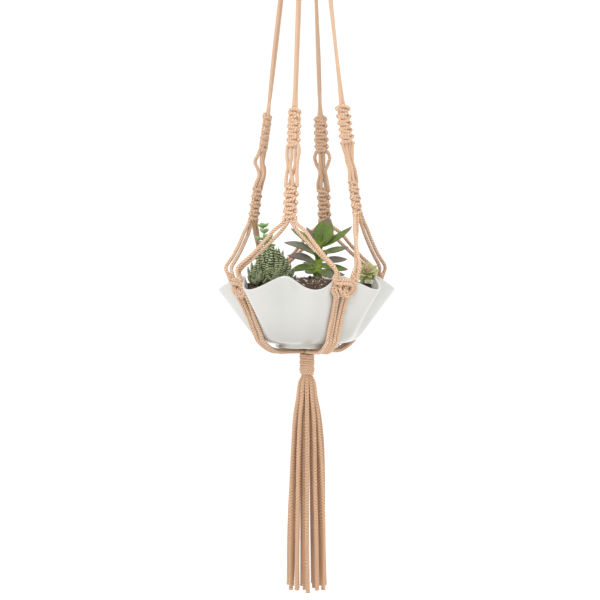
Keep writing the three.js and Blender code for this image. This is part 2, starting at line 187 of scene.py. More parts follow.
class Value:
    """A socket whose arithmetic adds Math nodes."""

    def __init__(self, look, socket):
        self.look = look
        self.socket = socket

    def __add__(self, other):
        return self.look.maths("ADD", self, other)

    def __sub__(self, other):
        return self.look.maths("SUBTRACT", self, other)

    def __rsub__(self, other):
        return self.look.maths("SUBTRACT", other, self)

    def __mul__(self, other):
        return self.look.maths("MULTIPLY", self, other)

    __radd__ = __add__
    __rmul__ = __mul__


class Look:
    """One material while its nodes are laid."""

    def __init__(self, name):
        self.material = bpy.data.materials.new(name)
        self.material.use_nodes = True
        self.tree = self.material.node_tree
        self.tree.nodes.clear()
        self.shader = self.node("ShaderNodeBsdfPrincipled")
        output = self.node("ShaderNodeOutputMaterial")
        self.tree.links.new(self.shader.outputs[0], output.inputs[0])

    def node(self, kind, choices=None, inputs=None):
        """A node of a kind, with its choices set first and then its sockets' values or links."""
        node = self.tree.nodes.new(kind)
        for key, choice in (choices or {}).items():
            if key == "stops":
                ramp = node.color_ramp.elements
                while len(ramp) < len(choice):
                    ramp.new(0.5)
                for element, (place, colour) in zip(ramp, choice):
                    element.position = place
                    element.color = colour
            else:
                setattr(node, key, choice)
        for key, value in (inputs or {}).items():
            if isinstance(value, Value):
                self.tree.links.new(value.socket, node.inputs[key])
            else:
                node.inputs[key].default_value = value
        return node

    def out(self, node, key=0):
        return Value(self, node.outputs[key])

    def maths(self, operation, *values):
        return self.out(self.node(
            "ShaderNodeMath", {"operation": operation}, dict(enumerate(values))))

    def between(self, value, low, high):
        """The value's share of the way from low to high, eased and kept from 0 to 1."""
        return self.out(self.node(
            "ShaderNodeMapRange", {"interpolation_type": "SMOOTHSTEP"},
            {0: value, 1: low, 2: high}))

    def parts(self, vector):
        node = self.node("ShaderNodeSeparateXYZ", inputs={0: vector})
        return [self.out(node, axis) for axis in range(3)]

    def vector(self, x, y, z):
        return self.out(self.node("ShaderNodeCombineXYZ", inputs={0: x, 1: y, 2: z}))

    def places(self):
        return self.out(self.node("ShaderNodeTexCoord"), "Object")

    def own(self, name):
        """A vector that the piece's mesh carries."""
        return self.out(self.node("ShaderNodeAttribute", {"attribute_name": name}), "Vector")

    def noise(self, vector, scale, detail=2.0, rough=0.5):
        return self.out(self.node("ShaderNodeTexNoise", inputs={
            "Vector": vector, "Scale": scale, "Detail": detail, "Roughness": rough}))

    def cells(self, vector, scale):
        return self.out(self.node(
            "ShaderNodeTexVoronoi", inputs={"Vector": vector, "Scale": scale}))

    def mix(self, share, first, second, blend="MIX"):
        node = self.node(
            "ShaderNodeMix", {"data_type": "RGBA", "blend_type": blend},
            {0: share, 6: first, 7: second})
        return self.out(node, 2)

    def bump(self, height, depth, strength=1.0):
        return self.out(self.node("ShaderNodeBump", inputs={
            "Strength": strength, "Distance": depth, "Height": height}))

    def finish(self, **sockets):
        """Sets the shader's sockets, named with underscores for spaces."""
        for key, value in sockets.items():
            socket = self.shader.inputs[key.replace("_", " ")]
            if isinstance(value, Value):
                self.tree.links.new(value.socket, socket)
            else:
                socket.default_value = value
        return self.material


def shade(colour, *factors):
    """A colour times one factor, or times three of its own for red, green and blue."""
    each = factors if len(factors) == 3 else factors * 3
    return (*[min(1.0, c * factor) for c, factor in zip(colour, each)], 1.0)


def jute_look():
    """Plaited jute: four columns of slanted stitches, painted shade in the creases between them,
    and fibres of mixed tone.
    """
    cords = settings("cords")
    look = Look("plaited_jute")
    turn_x, turn_y, even = look.parts(look.own("plait"))
    tone, warmth, seed = look.parts(look.own("cord_tone"))
    # The stitches, slanted one way and then the other in the four columns round the cord.
    ragged = look.noise(
        look.vector(turn_x * 2.5, turn_y * 2.5, even * 1.1 + seed * 13), 3.3, 3, 0.7)
    along = even + (ragged - 0.5) * 0.55
    columns = look.maths("ARCTAN2", turn_y, turn_x) * (2 / math.pi) + 4
    side = look.maths("FRACT", columns) * 2 - 1
    hand = look.maths("FLOOR", look.maths("FRACT", columns * 0.5) * 2) * 2 - 1
    slant = along + hand * side * STITCH_SLANT
    stitch = look.maths("ABSOLUTE", look.maths("SINE", slant * math.pi))
    border = side * side
    # The light on the stitches, and the fibres' tones from fine to long.
    blur = look.noise(look.vector(turn_x * 1.4, turn_y * 1.4, along * 0.6 + seed * 23), 2.2, 3)
    lit = look.between(stitch * (1 - border * border * 0.4) + blur * 0.55, 0.32, 1.0)
    fine = look.noise(look.vector(turn_x * 2, turn_y * 2, along * 0.9 + seed * 9), 2.6, 4, 0.65)
    yarn = look.noise(look.vector(turn_x, turn_y, along * 0.22 + seed * 31), 1.3, 2, 0.5)
    strandy = look.noise(
        look.vector(side * 2.4 + hand * 5, slant * 0.7, seed * 17), 3.4, 3)
    light, dark = linear(cords.light), linear(cords.dark)
    fibre = look.mix(look.between(fine, 0.3, 0.72), shade(light, 0.74), shade(light, 1.13))
    fibre = look.mix(look.between(strandy, 0.42, 0.75) * 0.4, fibre, (0.80, 0.60, 0.42, 1))
    fibre = look.mix(look.between(yarn, 0.45, 0.8) * 0.30, fibre, (0.55, 0.345, 0.19, 1))
    # Painted shade: the crease colour fills the creases between the stitches, the fibre colour the
    # stitches in the light.
    colour = look.mix(lit * 0.85 + 0.15, dark, fibre)
    # Dark and pale flecks, then each cord's tone, mostly painted shade with a little random tone,
    # warmer where its warmth is set.
    fleck = look.noise(look.vector(turn_x * 3, turn_y * 3, along * 1.3 + seed * 41), 3.1, 2)
    colour = look.mix(look.between(fleck, 0.62, 0.74) * 0.45, colour, (0.44, 0.235, 0.10, 1))
    colour = look.mix(look.between(fleck, 0.36, 0.26) * 0.5, colour, (1.0, 0.84, 0.66, 1))
    # Painted shade: each cord's colour is multiplied by its tone.
    painted_shade_and_tone = look.vector(tone, tone * (1 - warmth * 0.06), tone * (1 - warmth * 0.13))
    colour = look.mix(1.0, colour, painted_shade_and_tone, "MULTIPLY")
    height = lit + fine * 0.5 + strandy * 0.45
    return look.finish(
        Base_Color=colour, Roughness=0.93, Specular_IOR_Level=0.25, Sheen_Weight=0.25,
        Sheen_Roughness=0.6, Normal=look.bump(height, 0.00055, 0.75))


# ---- Smooth lines and cords.

def around(bearing, radius, z):
    """A point round the pot's axis, with bearings from the front towards the right."""
    return Vector((radius * math.sin(bearing), -radius * math.cos(bearing), z))


def lerp(a, b, share):
    return a + (b - a) * share


def smooth(points, step):
    """Evenly spaced points on a smooth line through the given ones."""
    given = np.array([tuple(p) for p in points], float)
    held = np.vstack([2 * given[0] - given[1], given, 2 * given[-1] - given[-2]])
    gaps = np.maximum(np.linalg.norm(np.diff(held, axis=0), axis=1), 1e-7) ** 0.5
    at = np.concatenate([[0], np.cumsum(gaps)])
    fine = []
    for i in range(1, len(held) - 2):
        t = np.linspace(at[i], at[i + 1], 12, endpoint=False)[:, None]
        line = [
            ((at[j + 1] - t) * held[j] + (t - at[j]) * held[j + 1]) / (at[j + 1] - at[j])
            for j in (i - 1, i, i + 1)
        ]
        bend = [
            ((at[j + 2] - t) * line[k] + (t - at[j]) * line[k + 1]) / (at[j + 2] - at[j])
            for k, j in ((0, i - 1), (1, i))
        ]
        fine.append(((at[i + 1] - t) * bend[0] + (t - at[i]) * bend[1]) / (at[i + 1] - at[i]))
    fine = np.vstack([*fine, given[-1]])
    run = np.concatenate([[0], np.cumsum(np.linalg.norm(np.diff(fine, axis=0), axis=1))])
    count = max(4, int(round(run[-1] / step)) + 1)
    even = np.linspace(0, run[-1], count)
    return np.column_stack([np.interp(even, run, fine[:, axis]) for axis in range(3)])


class Cord:
    """One length of plaited cord: its line, its thickness, how dark it is painted, mostly as
    painted shade, and how warm it is tinted.
    """

    def __init__(self, points, diameter=None, tone=1.0, warmth=0.0, squeeze=None):
        cords = settings("cords")
        self.line = smooth(points, cords.step)
        self.diameter = diameter or cords.diameter
        self.tone = tone
        self.warmth = warmth
        self.squeeze = squeeze or (lambda share: 1.0)

    def length(self):
        return float(np.linalg.norm(np.diff(self.line, axis=0), axis=1).sum())


def tubes(cords, sides):
    """The bare tubes of some cords, from one bevelled curve, one ring of points after another."""
    curve = bpy.data.curves.new("cords", "CURVE")
    curve.dimensions = "3D"
    curve.bevel_depth = 1.0
    curve.bevel_resolution = sides // 2 - 2
    for cord in cords:
        count = len(cord.line)
        spline = curve.splines.new("POLY")
        spline.points.add(count - 1)
        spline.points.foreach_set("co", np.column_stack([cord.line, np.ones(count)]).ravel())
        thin = [cord.squeeze(i / (count - 1)) for i in range(count)]
        spline.points.foreach_set("radius", np.array(thin) * cord.diameter / 2)
    thing = bpy.data.objects.new("cords", curve)
    bpy.context.scene.collection.objects.link(thing)
    ready = thing.evaluated_get(bpy.context.evaluated_depsgraph_get())
    mesh = bpy.data.meshes.new_from_object(ready)
    bpy.data.objects.remove(thing)
    bpy.data.curves.remove(curve)
    return mesh


class Fibre:
    """A short stray fibre that stands off a cord and leans along it."""

    # Rings at a cord's ends that carry no fibres.
    BARE_RINGS = 8

    def __init__(self, cord, rng):
        last = max(self.BARE_RINGS + 1, len(cord.line) - self.BARE_RINGS)
        place = rng.integers(self.BARE_RINGS, last)
        root = Vector(cord.line[place])
        way = (Vector(cord.line[place + 1]) - Vector(cord.line[place - 1])).normalized()
        off = way.orthogonal().normalized()
        off.rotate(Matrix.Rotation(rng.random() * FULL_TURN, 3, way))
        reach = cord.diameter / 2
        run = way * reach * (0.5 + rng.random()) * (1 if rng.random() < 0.5 else -1)
        lift = 0.14 + 0.55 * rng.random() ** 2
        twist = off.cross(way) * reach * 0.5 * (rng.random() - 0.5)
        self.line = np.array([
            tuple(root + off * reach * 0.75 * cord.squeeze(0.5)),
            tuple(root + off * reach * (1.02 + lift * 0.7) + run * 0.6),
            tuple(root + off * reach * (1.02 + lift) + run * 1.4 + twist),
        ])
        self.diameter = 0.00016 + 0.00010 * rng.random()
        self.squeeze = lambda share: 1 - 0.8 * share


def write_layers(mesh, plait, shades_and_tones):
    """Gives each point of a cord's mesh its place in the plait, and its tone (painted shade with
    random tone), warmth and seed.
    """
    for name, values in (("plait", plait), ("cord_tone", shades_and_tones)):
        layer = mesh.attributes.new(name, "FLOAT_VECTOR", "POINT")
        layer.data.foreach_set("vector", np.asarray(values, np.float32).ravel())


def plaited(name, cords, seed):
    """One piece made of plaited cords: the stitches are pressed into each tube."""
    mesh = tubes(cords, CORD_SIDES)
    made = settings("cords")
    rng = np.random.default_rng(seed)
    turn = (np.arange(CORD_SIDES) + 0.5) / CORD_SIDES * FULL_TURN
    column = np.floor(turn * 2 / math.pi)
    side = (turn * 2 / math.pi - column) * 2 - 1
    hand = (column % 2) * 2 - 1
    places = np.empty(len(mesh.vertices) * 3)
    mesh.vertices.foreach_get("co", places)
    places = places.reshape(-1, 3)
    plait, shades_and_tones, start = [], [], 0
    for cord in cords:
        count = len(cord.line)
        points = count * CORD_SIDES
        rings = places[start:start + points].reshape(count, CORD_SIDES, 3)
        shift = rng.random()
        pitch = cord.diameter * made.stitch
        along = np.linspace(0, cord.length(), count)[:, None] / pitch + shift * 7
        along = along + 0.22 * np.sin(along * 0.41 + shift * 50) + 0.12 * np.sin(along * 1.17)
        stitch = np.abs(np.sin(math.pi * (along + hand * side * STITCH_SLANT)))
        rough = 1 + 0.05 * (rng.random((count, CORD_SIDES)) - 0.5)
        swell = (0.86 + 0.22 * stitch * (1 - 0.4 * side ** 2)) * rough
        middle = cord.line[:, None, :]
        rings[:] = middle + (rings - middle) * swell[:, :, None]
        start += points
        plait.append(np.stack(np.broadcast_arrays(
            -np.cos(turn)[None, :], -np.sin(turn)[None, :], along), axis=-1).reshape(-1, 3))
        own = cord.tone * (1 + 0.07 * (rng.random() - 0.5))
        shades_and_tones.append(np.tile([own, cord.warmth, shift], (points, 1)))
    mesh.vertices.foreach_set("co", places.ravel())
    write_layers(mesh, np.vstack(plait), np.vstack(shades_and_tones))
    bm = bmesh.new()
    bm.from_mesh(mesh)
    for cord in cords:
        fibres = [Fibre(cord, rng) for _ in range(int(cord.length() * made.fray))]
        fray = tubes(fibres, FIBRE_SIDES)
        points = len(fray.vertices)
        tone = (cord.tone * 1.1, cord.warmth, rng.random())
        write_layers(fray, np.tile((0.7, 0.7, 0.5), points), np.tile(tone, points))
        bm.from_mesh(fray)
        bpy.data.meshes.remove(fray)
    open_edges = [edge for edge in bm.edges if edge.is_boundary]
    bmesh.ops.holes_fill(bm, edges=open_edges, sides=CORD_SIDES)
    for face in bm.faces:
        face.smooth = True
    bm.to_mesh(mesh)
    bm.free()
    for layer in list(mesh.uv_layers):
        mesh.uv_layers.remove(layer)
    piece = bpy.data.objects.new(name, mesh)
    bpy.context.scene.collection.objects.link(piece)
    mesh.materials.clear()
    mesh.materials.append(bpy.data.materials.get("plaited_jute") or jute_look())
    return piece


def hang_piece(piece, body, slot, *nodes):
    """Settles a finished piece on its body, in place of its plain solids."""
    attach(piece, body)
    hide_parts(*nodes)


def tie(name, cords, seed, node):
    """Plaits some cords of the hanger into one piece, in place of a node."""
    hang_piece(plaited(name, cords, seed), "hanger", "jute_cord", node)


# ---- Where things are: the arms and the pot's wall.

def middle(node):
    """The middle of a node's box."""
    low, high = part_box(node)
    return (Vector(low) + Vector(high)) / 2


def bearing_of(point):
    """The bearing that around() would need for a point."""
    return math.atan2(point.x, -point.y)


class Arm:
    """One arm of the hanger: two straight stretches through its rows of knots."""

    # How far each row has turned about the arm, and how dark the arm's cords are painted: painted
    # shade, darkest on the back arm.
    TURNS = {"front": (4, -5), "right": (58, 22), "back": (-6, 5), "left": (6, 20)}
    SHADE_TONES = {"front": 1.0, "right": 0.98, "back": 0.86, "left": 0.93}
    # How far each arm hangs to the side of its true line, in mm.
    DRIFTS = {"front": -0.5, "right": -3.2, "back": 3.0, "left": -3.0}
    # How far a leaning row's box goes past the row's ends.
    OVERHANG = 0.0008
    # How far the cords stand from the axis at the crown, and how far below it they hang free.
    CROWN_R = 0.0075
    GATHERED = 0.3

    def __init__(self, name):
        upper, lower = middle(name + "_upper_knots"), middle(name + "_lower_knots")
        self.name = name
        self.bearing = bearing_of(lower)
        self.tone = self.SHADE_TONES[name]
        self.upper_z = self.row_ends(name + "_upper_knots")
        self.lower_z = self.row_ends(name + "_lower_knots")
        self.rows = (upper.xy.length, upper.z), (lower.xy.length, lower.z)
        self.crown_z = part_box(name + "_top_cords")[1][2]

    def row_ends(self, node):
        """The levels of a row's top and bottom."""
        low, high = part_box(node)
        return high[2] - self.OVERHANG, low[2] + self.OVERHANG

    def radius(self, z):
        """How far the arm's line is from the pot's axis at a level."""
        (upper_r, upper_z), (lower_r, lower_z) = self.rows
        knee_z = self.upper_z[0]
        below = upper_r + (lower_r - upper_r) * (upper_z - min(z, knee_z)) / (upper_z - lower_z)
        if z <= knee_z:
            return below
        return lerp(self.CROWN_R, below, (self.crown_z - z) / (self.crown_z - knee_z))

    def at(self, x, out, z):
        """A point beside the arm's line: x along the row's width, out away from the pot's axis."""
        upper_turn, lower_turn = (math.radians(a) for a in self.TURNS[self.name])
        share = (self.upper_z[1] - z) / (self.upper_z[1] - self.lower_z[0])
        turn = lerp(upper_turn, lower_turn, min(1, max(0, share)))
        side = around(self.bearing + math.pi / 2 - turn, 1, 0)
        front = around(self.bearing - turn, 1, 0)
        return self.line(z) + side * x + front * out

    def line(self, z):
        """The middle of the arm's cords at a level."""
        loose = min(1, max(0, (self.crown_z - z) / self.GATHERED))
        drift = Vector((self.DRIFTS[self.name] / 1000 * loose, 0, 0))
        return around(self.bearing, self.radius(z), z) + drift


def straight_radius(height):
    """The pot's middle radius where its side is straight."""
    pot = settings("pot")
    return pot.rim_radius - (pot.rim_height - height) * math.tan(pot.lean)


def side_radius(height):
    """The pot's middle radius at a height above its foot, before the flutes."""
    pot = settings("pot")
    if height >= pot.turn_height:
        return straight_radius(height)
    reach = pot.turn_height - pot.base_height
    t = math.sqrt(max(0.0, height - pot.base_height) / reach)
    start = pot.foot_radius + 0.004
    corner = straight_radius(pot.base_height)
    end = straight_radius(pot.turn_height)
    return (1 - t) ** 2 * start + 2 * t * (1 - t) * corner + t ** 2 * end


def flute_share(height):
    """How deep the flutes are at a height, as a share of their depth at the rim."""
    pot = settings("pot")
    return min(1.2, max(0.0, (height - pot.base_height) / (pot.rim_height - pot.base_height)))


def flute_wave(bearing):
    """From 1 on a ridge to -1 in a valley."""
    pot = settings("pot")
    return math.cos(pot.flutes * (bearing - pot.flute_bearing))


def wall_radius(bearing, z):
    """The radius of the pot's outside at a bearing and a level."""
    pot = settings("pot")
    rise = z - POT_LOW[2]
    slope = flute_wave(bearing) * pot.rim_wave / (pot.rim_height - pot.base_height)
    height = rise
    if rise > pot.base_height:
        height = (rise - pot.base_height * slope) / (1 - slope)
    return side_radius(height) + flute_wave(bearing) * pot.flute_depth * flute_share(height)


def on_wall(bearing, x, z, off):
    """A point in front of the pot's wall, x to the side of a bearing and off the wall."""
    radius = wall_radius(bearing, z)
    turned = bearing + x / max(radius, 0.03)
    return around(turned, wall_radius(turned, z) + off, z)


# ---- Stage.

class PLANTER_OT_stage(bpy.types.Operator):
    """Sets the camera, the lights and the pale floor"""

    bl_idname = "planter.stage"
    bl_label = "Stage"

    EYE = (-0.0102, -2.32, -0.741)
    LENS = 95.3
    LOOKS_DOWN = 1.26
    AIM = Vector((0, 0, -0.75))
    FLOOR_GAP = 0.03
    # Each lamp's place, its width and its power.
    LAMPS = {
        "key": ((-1.2, -2.0, 1.0), 1.0, 22),
        "fill": ((2.0, -1.4, 0.2), 1.5, 3),
        "top": ((0.2, 0.4, 1.5), 0.9, 9),
    }

    def execute(self, context):
        scene = context.scene
        scene.view_settings.view_transform = "Standard"
        data = bpy.data.cameras.new("camera")
        data.lens = self.LENS
        data.sensor_width = 36
        camera = bpy.data.objects.new("camera", data)
        camera.location = self.EYE
        camera.rotation_euler = (math.radians(90 - self.LOOKS_DOWN), 0, 0)
        scene.collection.objects.link(camera)
        scene.camera = camera
        self.world(scene)
        self.floor(scene)
        for name, lamp in self.LAMPS.items():
            self.lamp(scene, name, *lamp)
        return {"FINISHED"}

    @staticmethod
    def world(scene):
        world = bpy.data.worlds.new("studio")
        world.use_nodes = True
        back = world.node_tree.nodes["Background"]
        back.inputs["Color"].default_value = (1, 1, 1, 1)
        back.inputs["Strength"].default_value = 1.1
        scene.world = world

    def floor(self, scene):
        bm = bmesh.new()
        bmesh.ops.create_circle(bm, cap_ends=True, segments=64, radius=14)
        bmesh.ops.translate(bm, verts=bm.verts, vec=(0, 0, CAD_BOX[0][2] - self.FLOOR_GAP))
        mesh = bpy.data.meshes.new("floor")
        bm.to_mesh(mesh)
        bm.free()
        floor = bpy.data.objects.new("floor", mesh)
        scene.collection.objects.link(floor)
        look = Look("pale_floor")
        grain = look.noise(look.places(), 3, 3)
        colour = look.mix(grain, (0.80, 0.80, 0.80, 1), (0.82, 0.82, 0.815, 1))
        mesh.materials.append(look.finish(
            Base_Color=colour, Roughness=0.9, Emission_Color=(1, 1, 1, 1), Emission_Strength=0.16))

    def lamp(self, scene, name, place, size, power):
        data = bpy.data.lights.new(name, "AREA")
        data.shape = "DISK"
        data.size = size
        data.energy = power
        lamp = bpy.data.objects.new(name, data)
        lamp.location = place
        way = self.AIM - Vector(place)
        lamp.rotation_euler = way.to_track_quat("-Z", "Y").to_euler()
        scene.collection.objects.link(lamp)


# ---- Tassel.

# How a strand spreads once it is clear of the wrap: share of its drop, share of its spread.
STRAND_FALL = ((0.08, 0.12), (0.16, 0.4), (0.28, 0.62), (0.45, 0.76), (0.7, 0.88), (1, 1))
# How far each strand drifts round by its end, in degrees.
STRAND_DRIFTS = (2, -2, 1, 3, -1, -3, 0, 2, -2, 1, -1, 3, -4, 2, 0, 4)
# The two rounds of strands: how many, the first one's bearing in degrees, and how far they stand
# from the axis inside the wrap, under it and at their ends, in mm.
OUTER_ROUND = (11, 0, 4.7, 11.5, 27)
INNER_ROUND = (5, -16, 1.8, 5.5, 14.5)


class PLANTER_OT_tassel(bpy.types.Operator):
    """Hangs the sixteen strands of the tassel from the base wrap"""

    bl_idname = "planter.tassel"
    bl_label = "Tassel"

    def execute(self, context):
        wrap_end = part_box("base_wrap")[0][2]
        for index in range(OUTER_ROUND[0] + INNER_ROUND[0]):
            self.strand(index, wrap_end)
        return {"FINISHED"}

    def strand(self, index, wrap_end):
        """One strand, tucked in the wrap, which fans out and sways a little as it falls."""
        outer = index < OUTER_ROUND[0]
        place = index if outer else index - OUTER_ROUND[0]
        count, first, *radii = OUTER_ROUND if outer else INNER_ROUND
        tuck_r, root_r, end_r = (radius / 1000 for radius in radii)
        bearing = math.radians(place * 360 / count + first)
        node = f"tassel_strand_{index + 1:02d}"
        low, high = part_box(node)
        points = [
            around(bearing, tuck_r, wrap_end + 0.005),
            around(bearing, lerp(tuck_r, root_r, 0.25), wrap_end - 0.003),
            around(bearing, lerp(tuck_r, root_r, 0.75), wrap_end - 0.011),
        ]
        drift = math.radians(STRAND_DRIFTS[index])
        for drop, spread in STRAND_FALL:
            z = lerp(high[2], low[2], drop)
            sway = 0.0011 * math.sin(6.5 * drop + index * 1.9) * min(1, drop * 4)
            radius = lerp(root_r, end_r, spread) + sway
            points.append(around(bearing + drift * drop + sway * 18, radius, z))
        cords = settings("cords")
        # Painted shade: the tassel strands are painted darker, the inner round darker still, with a
        # little tone from strand to strand.
        tone = 0.79 + 0.035 * (index % 3) - (0 if outer else 0.06)

        def squeeze(share):
            root = 0.62 + 0.38 * min(1, share / 0.05)
            return root * (1 + 0.10 * max(0, (share - 0.975) / 0.025))

        cord = Cord(points, cords.strand, tone, 1.0, squeeze)
        piece = plaited(f"strand_{index + 1:02d}", [cord], 100 + index)
        wrap_end - 0.04
        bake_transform(piece)
        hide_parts(node)
        cord.length()


# ---- Arms.

class PLANTER_OT_top_cords(bpy.types.Operator):
    """Runs a pair of cords from the crown down to each upper row"""

    bl_idname = "planter.top_cords"
    bl_label = "Top cords"

    def execute(self, context):
        for seed, name in enumerate(ARMS):
            arm = Arm(name)
            top, end = arm.crown_z + 0.004, arm.upper_z[0] - 0.003
            side = settings("cords").diameter * 0.47
            cords = []
            for hand in (-1, 1):
                points = []
                for share in (0, 0.05, 0.2, 0.4, 0.6, 0.8, 0.93, 1):
                    z = lerp(top, end, share)
                    line = arm.line(z)
                    lie = math.radians(72 + 16 * math.sin(share * 7 + seed * 2))
                    apart = Vector((math.cos(lie), math.sin(lie), 0)) * side * hand
                    row = arm.at(0.0024 * hand, 0, z) - line
                    blend = min(1, max(0, (share - 0.9) / 0.1))
                    points.append(line + apart * (1 - blend) + row * blend)
                # Painted light: the top cords are painted a little lighter.
                cords.append(Cord(points, tone=arm.tone * 1.02))
            tie(name + "_arm_pair", cords, 10 + seed, name + "_top_cords")
        return {"FINISHED"}


# Points along a working cord each time it crosses a row.
KNOT_STEPS = 6


def square_knots(arm, ends, knots, seed):
    """The two straight cords of a row and its two working cords, which pass in front and behind."""
    sizes = settings("knots")
    rng = np.random.default_rng(seed)
    top, end = ends
    pitch = (top - end) / (knots + 0.12)
    lobes = [
        sizes.half_width * (1.15 if n % 2 == 0 else 0.80) * (1 + 0.12 * (rng.random() - 0.5))
        for n in range(2 * knots + 1)
    ]
    slips = [0.0012 * (rng.random() - 0.5) for _ in lobes]
    workers = []
    for hand in (-1, 1):
        points = []
        for n in range(2 * knots * KNOT_STEPS + 1):
            phi = n / KNOT_STEPS * math.pi
            lobe = int(phi / math.pi + 0.5)
            across, past = math.cos(phi), abs(math.sin(phi))
            out = -hand * (sizes.depth * past ** 0.7 - 0.0013 * across ** 2)
            z = top - 0.0015 - pitch * (phi + 0.22 * math.sin(2 * phi)) / FULL_TURN
            points.append(arm.at(hand * lobes[lobe] * across, out, z + slips[lobe]))
        workers.append(points)
    heights = [lerp(top + 0.002, end - 0.002, n / 4) for n in range(5)]
    straights = [[arm.at(x, 0, z) for z in heights] for x in (-0.0025, 0.0025)]
    return workers, straights


class PLANTER_OT_knot_rows(bpy.types.Operator):
    """Ties the upper and lower rows of square knots on each arm"""

    bl_idname = "planter.knot_rows"
    bl_label = "Rows of square knots"

    def execute(self, context):
        sizes = settings("knots")
        for seed, name in enumerate(ARMS):
            arm = Arm(name)
            self.row(arm, "upper", arm.upper_z, sizes.upper, 30 + seed)
            self.row(arm, "lower", arm.lower_z, sizes.lower, 40 + seed)
        return {"FINISHED"}

    @staticmethod
    def row(arm, level, ends, knots, seed):
        """One row: an upper row's working cord goes over its top, a lower row's cords come in."""
        workers, straights = square_knots(arm, ends, knots, seed)
        if level == "upper":
            bight = [arm.at(x, 0.0042, ends[0] + 0.0022) for x in (-0.0035, 0.0035)]
            lines = [[*reversed(workers[0]), *bight, *workers[1]]]
        else:
            lines = workers
        cords = [Cord(line, tone=arm.tone) for line in lines + straights]
        tie(f"{arm.name}_{level}_row", cords, seed, f"{arm.name}_{level}_knots")


class PLANTER_OT_open_cords(bpy.types.Operator):
    """Leads the four loose cords of each arm from its upper row to its lower row"""

    bl_idname = "planter.open_cords"
    bl_label = "Open cords"

    # Sideways places of the four cords at shares of the way down, in mm.
    START = (-8.0, -2.5, 2.5, 8.0)
    END = (-8.2, -2.4, 2.4, 8.2)
    LINES = {
        "front": (
            START, (-9.0, -2.8, 3.0, 9.6), (-7.8, -1.6, 3.8, 8.2),
            (-6.4, -2.9, 3.6, 7.0), (-7.2, -1.0, 1.2, 7.4), (-8.0, 1.6, -1.8, 8.2),
            (-8.2, 2.4, -2.4, 8.2)),
        "back": (
            START, (-11.8, -2.4, 2.4, 11.2), (-8.6, -1.8, 3.0, 9.4),
            (-4.6, -1.2, 3.2, 4.4), (-5.4, -1.4, 1.2, 5.8), (-7.0, -2.6, 2.4, 8.6),
            END),
        "right": (
            START, (-7.0, -2.4, 2.4, 6.6), (-5.2, -1.8, 2.0, 5.0),
            (-4.8, -2.0, 2.0, 4.8), (-5.0, -1.6, 2.0, 5.4), (-7.0, -2.6, 2.4, 7.0),
            END),
        "left": (
            START, (-7.4, -2.2, 2.6, 8.0), (-5.8, -1.6, 3.0, 7.2),
            (-5.2, -1.8, 2.0, 5.8), (-5.6, -1.6, 2.0, 5.4), (-7.0, -2.6, 2.4, 7.0),
            END),
    }
    # How far a whole arm leans out of line, and how far the left arm's last cord stands off, in mm.
    LEANS = {
        "front": (0, 0, 0, 0, 0, 0, 0),
        "back": (0, 0, 0, 0.5, 0.4, 0, 0),
        "right": (0, -1.2, -1.4, -0.6, 0.8, 0.6, 0),
        "left": (0, 0.5, -0.5, -3.4, -5.2, -2.6, 0),
    }
    LOOSE = (0, 2.5, 6.2, 5.0, 1.5, 0, 0)

    def execute(self, context):
        for seed, name in enumerate(ARMS):
            arm = Arm(name)
            top, end = arm.upper_z[1] + 0.003, arm.lower_z[0] - 0.003
            cords = []
            for place in range(4):
                points = []
                for step, row in enumerate(self.LINES[name]):
                    z = lerp(top, end, step / 6)
                    out = self.depth(place, step) + self.LEANS[name][step]
                    if name == "left" and place == 3:
                        out += self.LOOSE[step]
                    points.append(arm.at(row[place] / 1000, out / 1000, z))
                cords.append(Cord(points, tone=arm.tone))
            tie(name + "_open_lengths", cords, 50 + seed, name + "_open_cords")
        return {"FINISHED"}

    @staticmethod
    def depth(place, step):
        """Out of the row's plane in mm: the inner two cords pass each other, one in front."""
        if place in (0, 3):
            return (0.4, 0.2, 1.0, -0.6, 0.6, 0.8, 0.5)[step]
        return (1 if place == 1 else -1) * (0, 0.8, 1.4, 1.8, 2.4, 2.7, 2.2)[step]


# ---- Legs, rim knots and basket runs.

class Corner:
    """A rim knot's place in a valley of the pot."""

    # How dark each knot's cords are painted: painted shade, darker on the back knots.
    SHADE_TONES = {"front_right": 1.0, "back_right": 0.88, "back_left": 0.88, "front_left": 0.9}
    # How far the middle of a cord stays off the pot's wall, at the knot's middle and to its sides.
    OFF_VALLEY = 0.0036
    OFF_WALL = 0.0034

    def __init__(self, name):
        low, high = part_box(name + "_rim_knot")
        self.name = name
        self.bearing = bearing_of(middle(name + "_rim_knot"))
        self.top_z, self.low_z = high[2], low[2]
        self.middle_z = (self.top_z + self.low_z) / 2
        self.tone = self.SHADE_TONES[name]

    def at(self, x, out, up):
        """A point of the knot: x along the rim, out from its back, up from its middle."""
        z = self.middle_z + up
        valley = wall_radius(self.bearing, z)
        turned = self.bearing + x / valley
        flat = (valley + self.OFF_VALLEY + out) / math.cos(turned - self.bearing)
        radius = max(flat, wall_radius(turned, z) + self.OFF_WALL)
        return around(turned, radius, z)

    def along(self, way):
        """The points of a cord's way through the knot, which is given in mm."""
        return [self.at(x / 1000, out / 1000, up / 1000) for x, out, up in way]


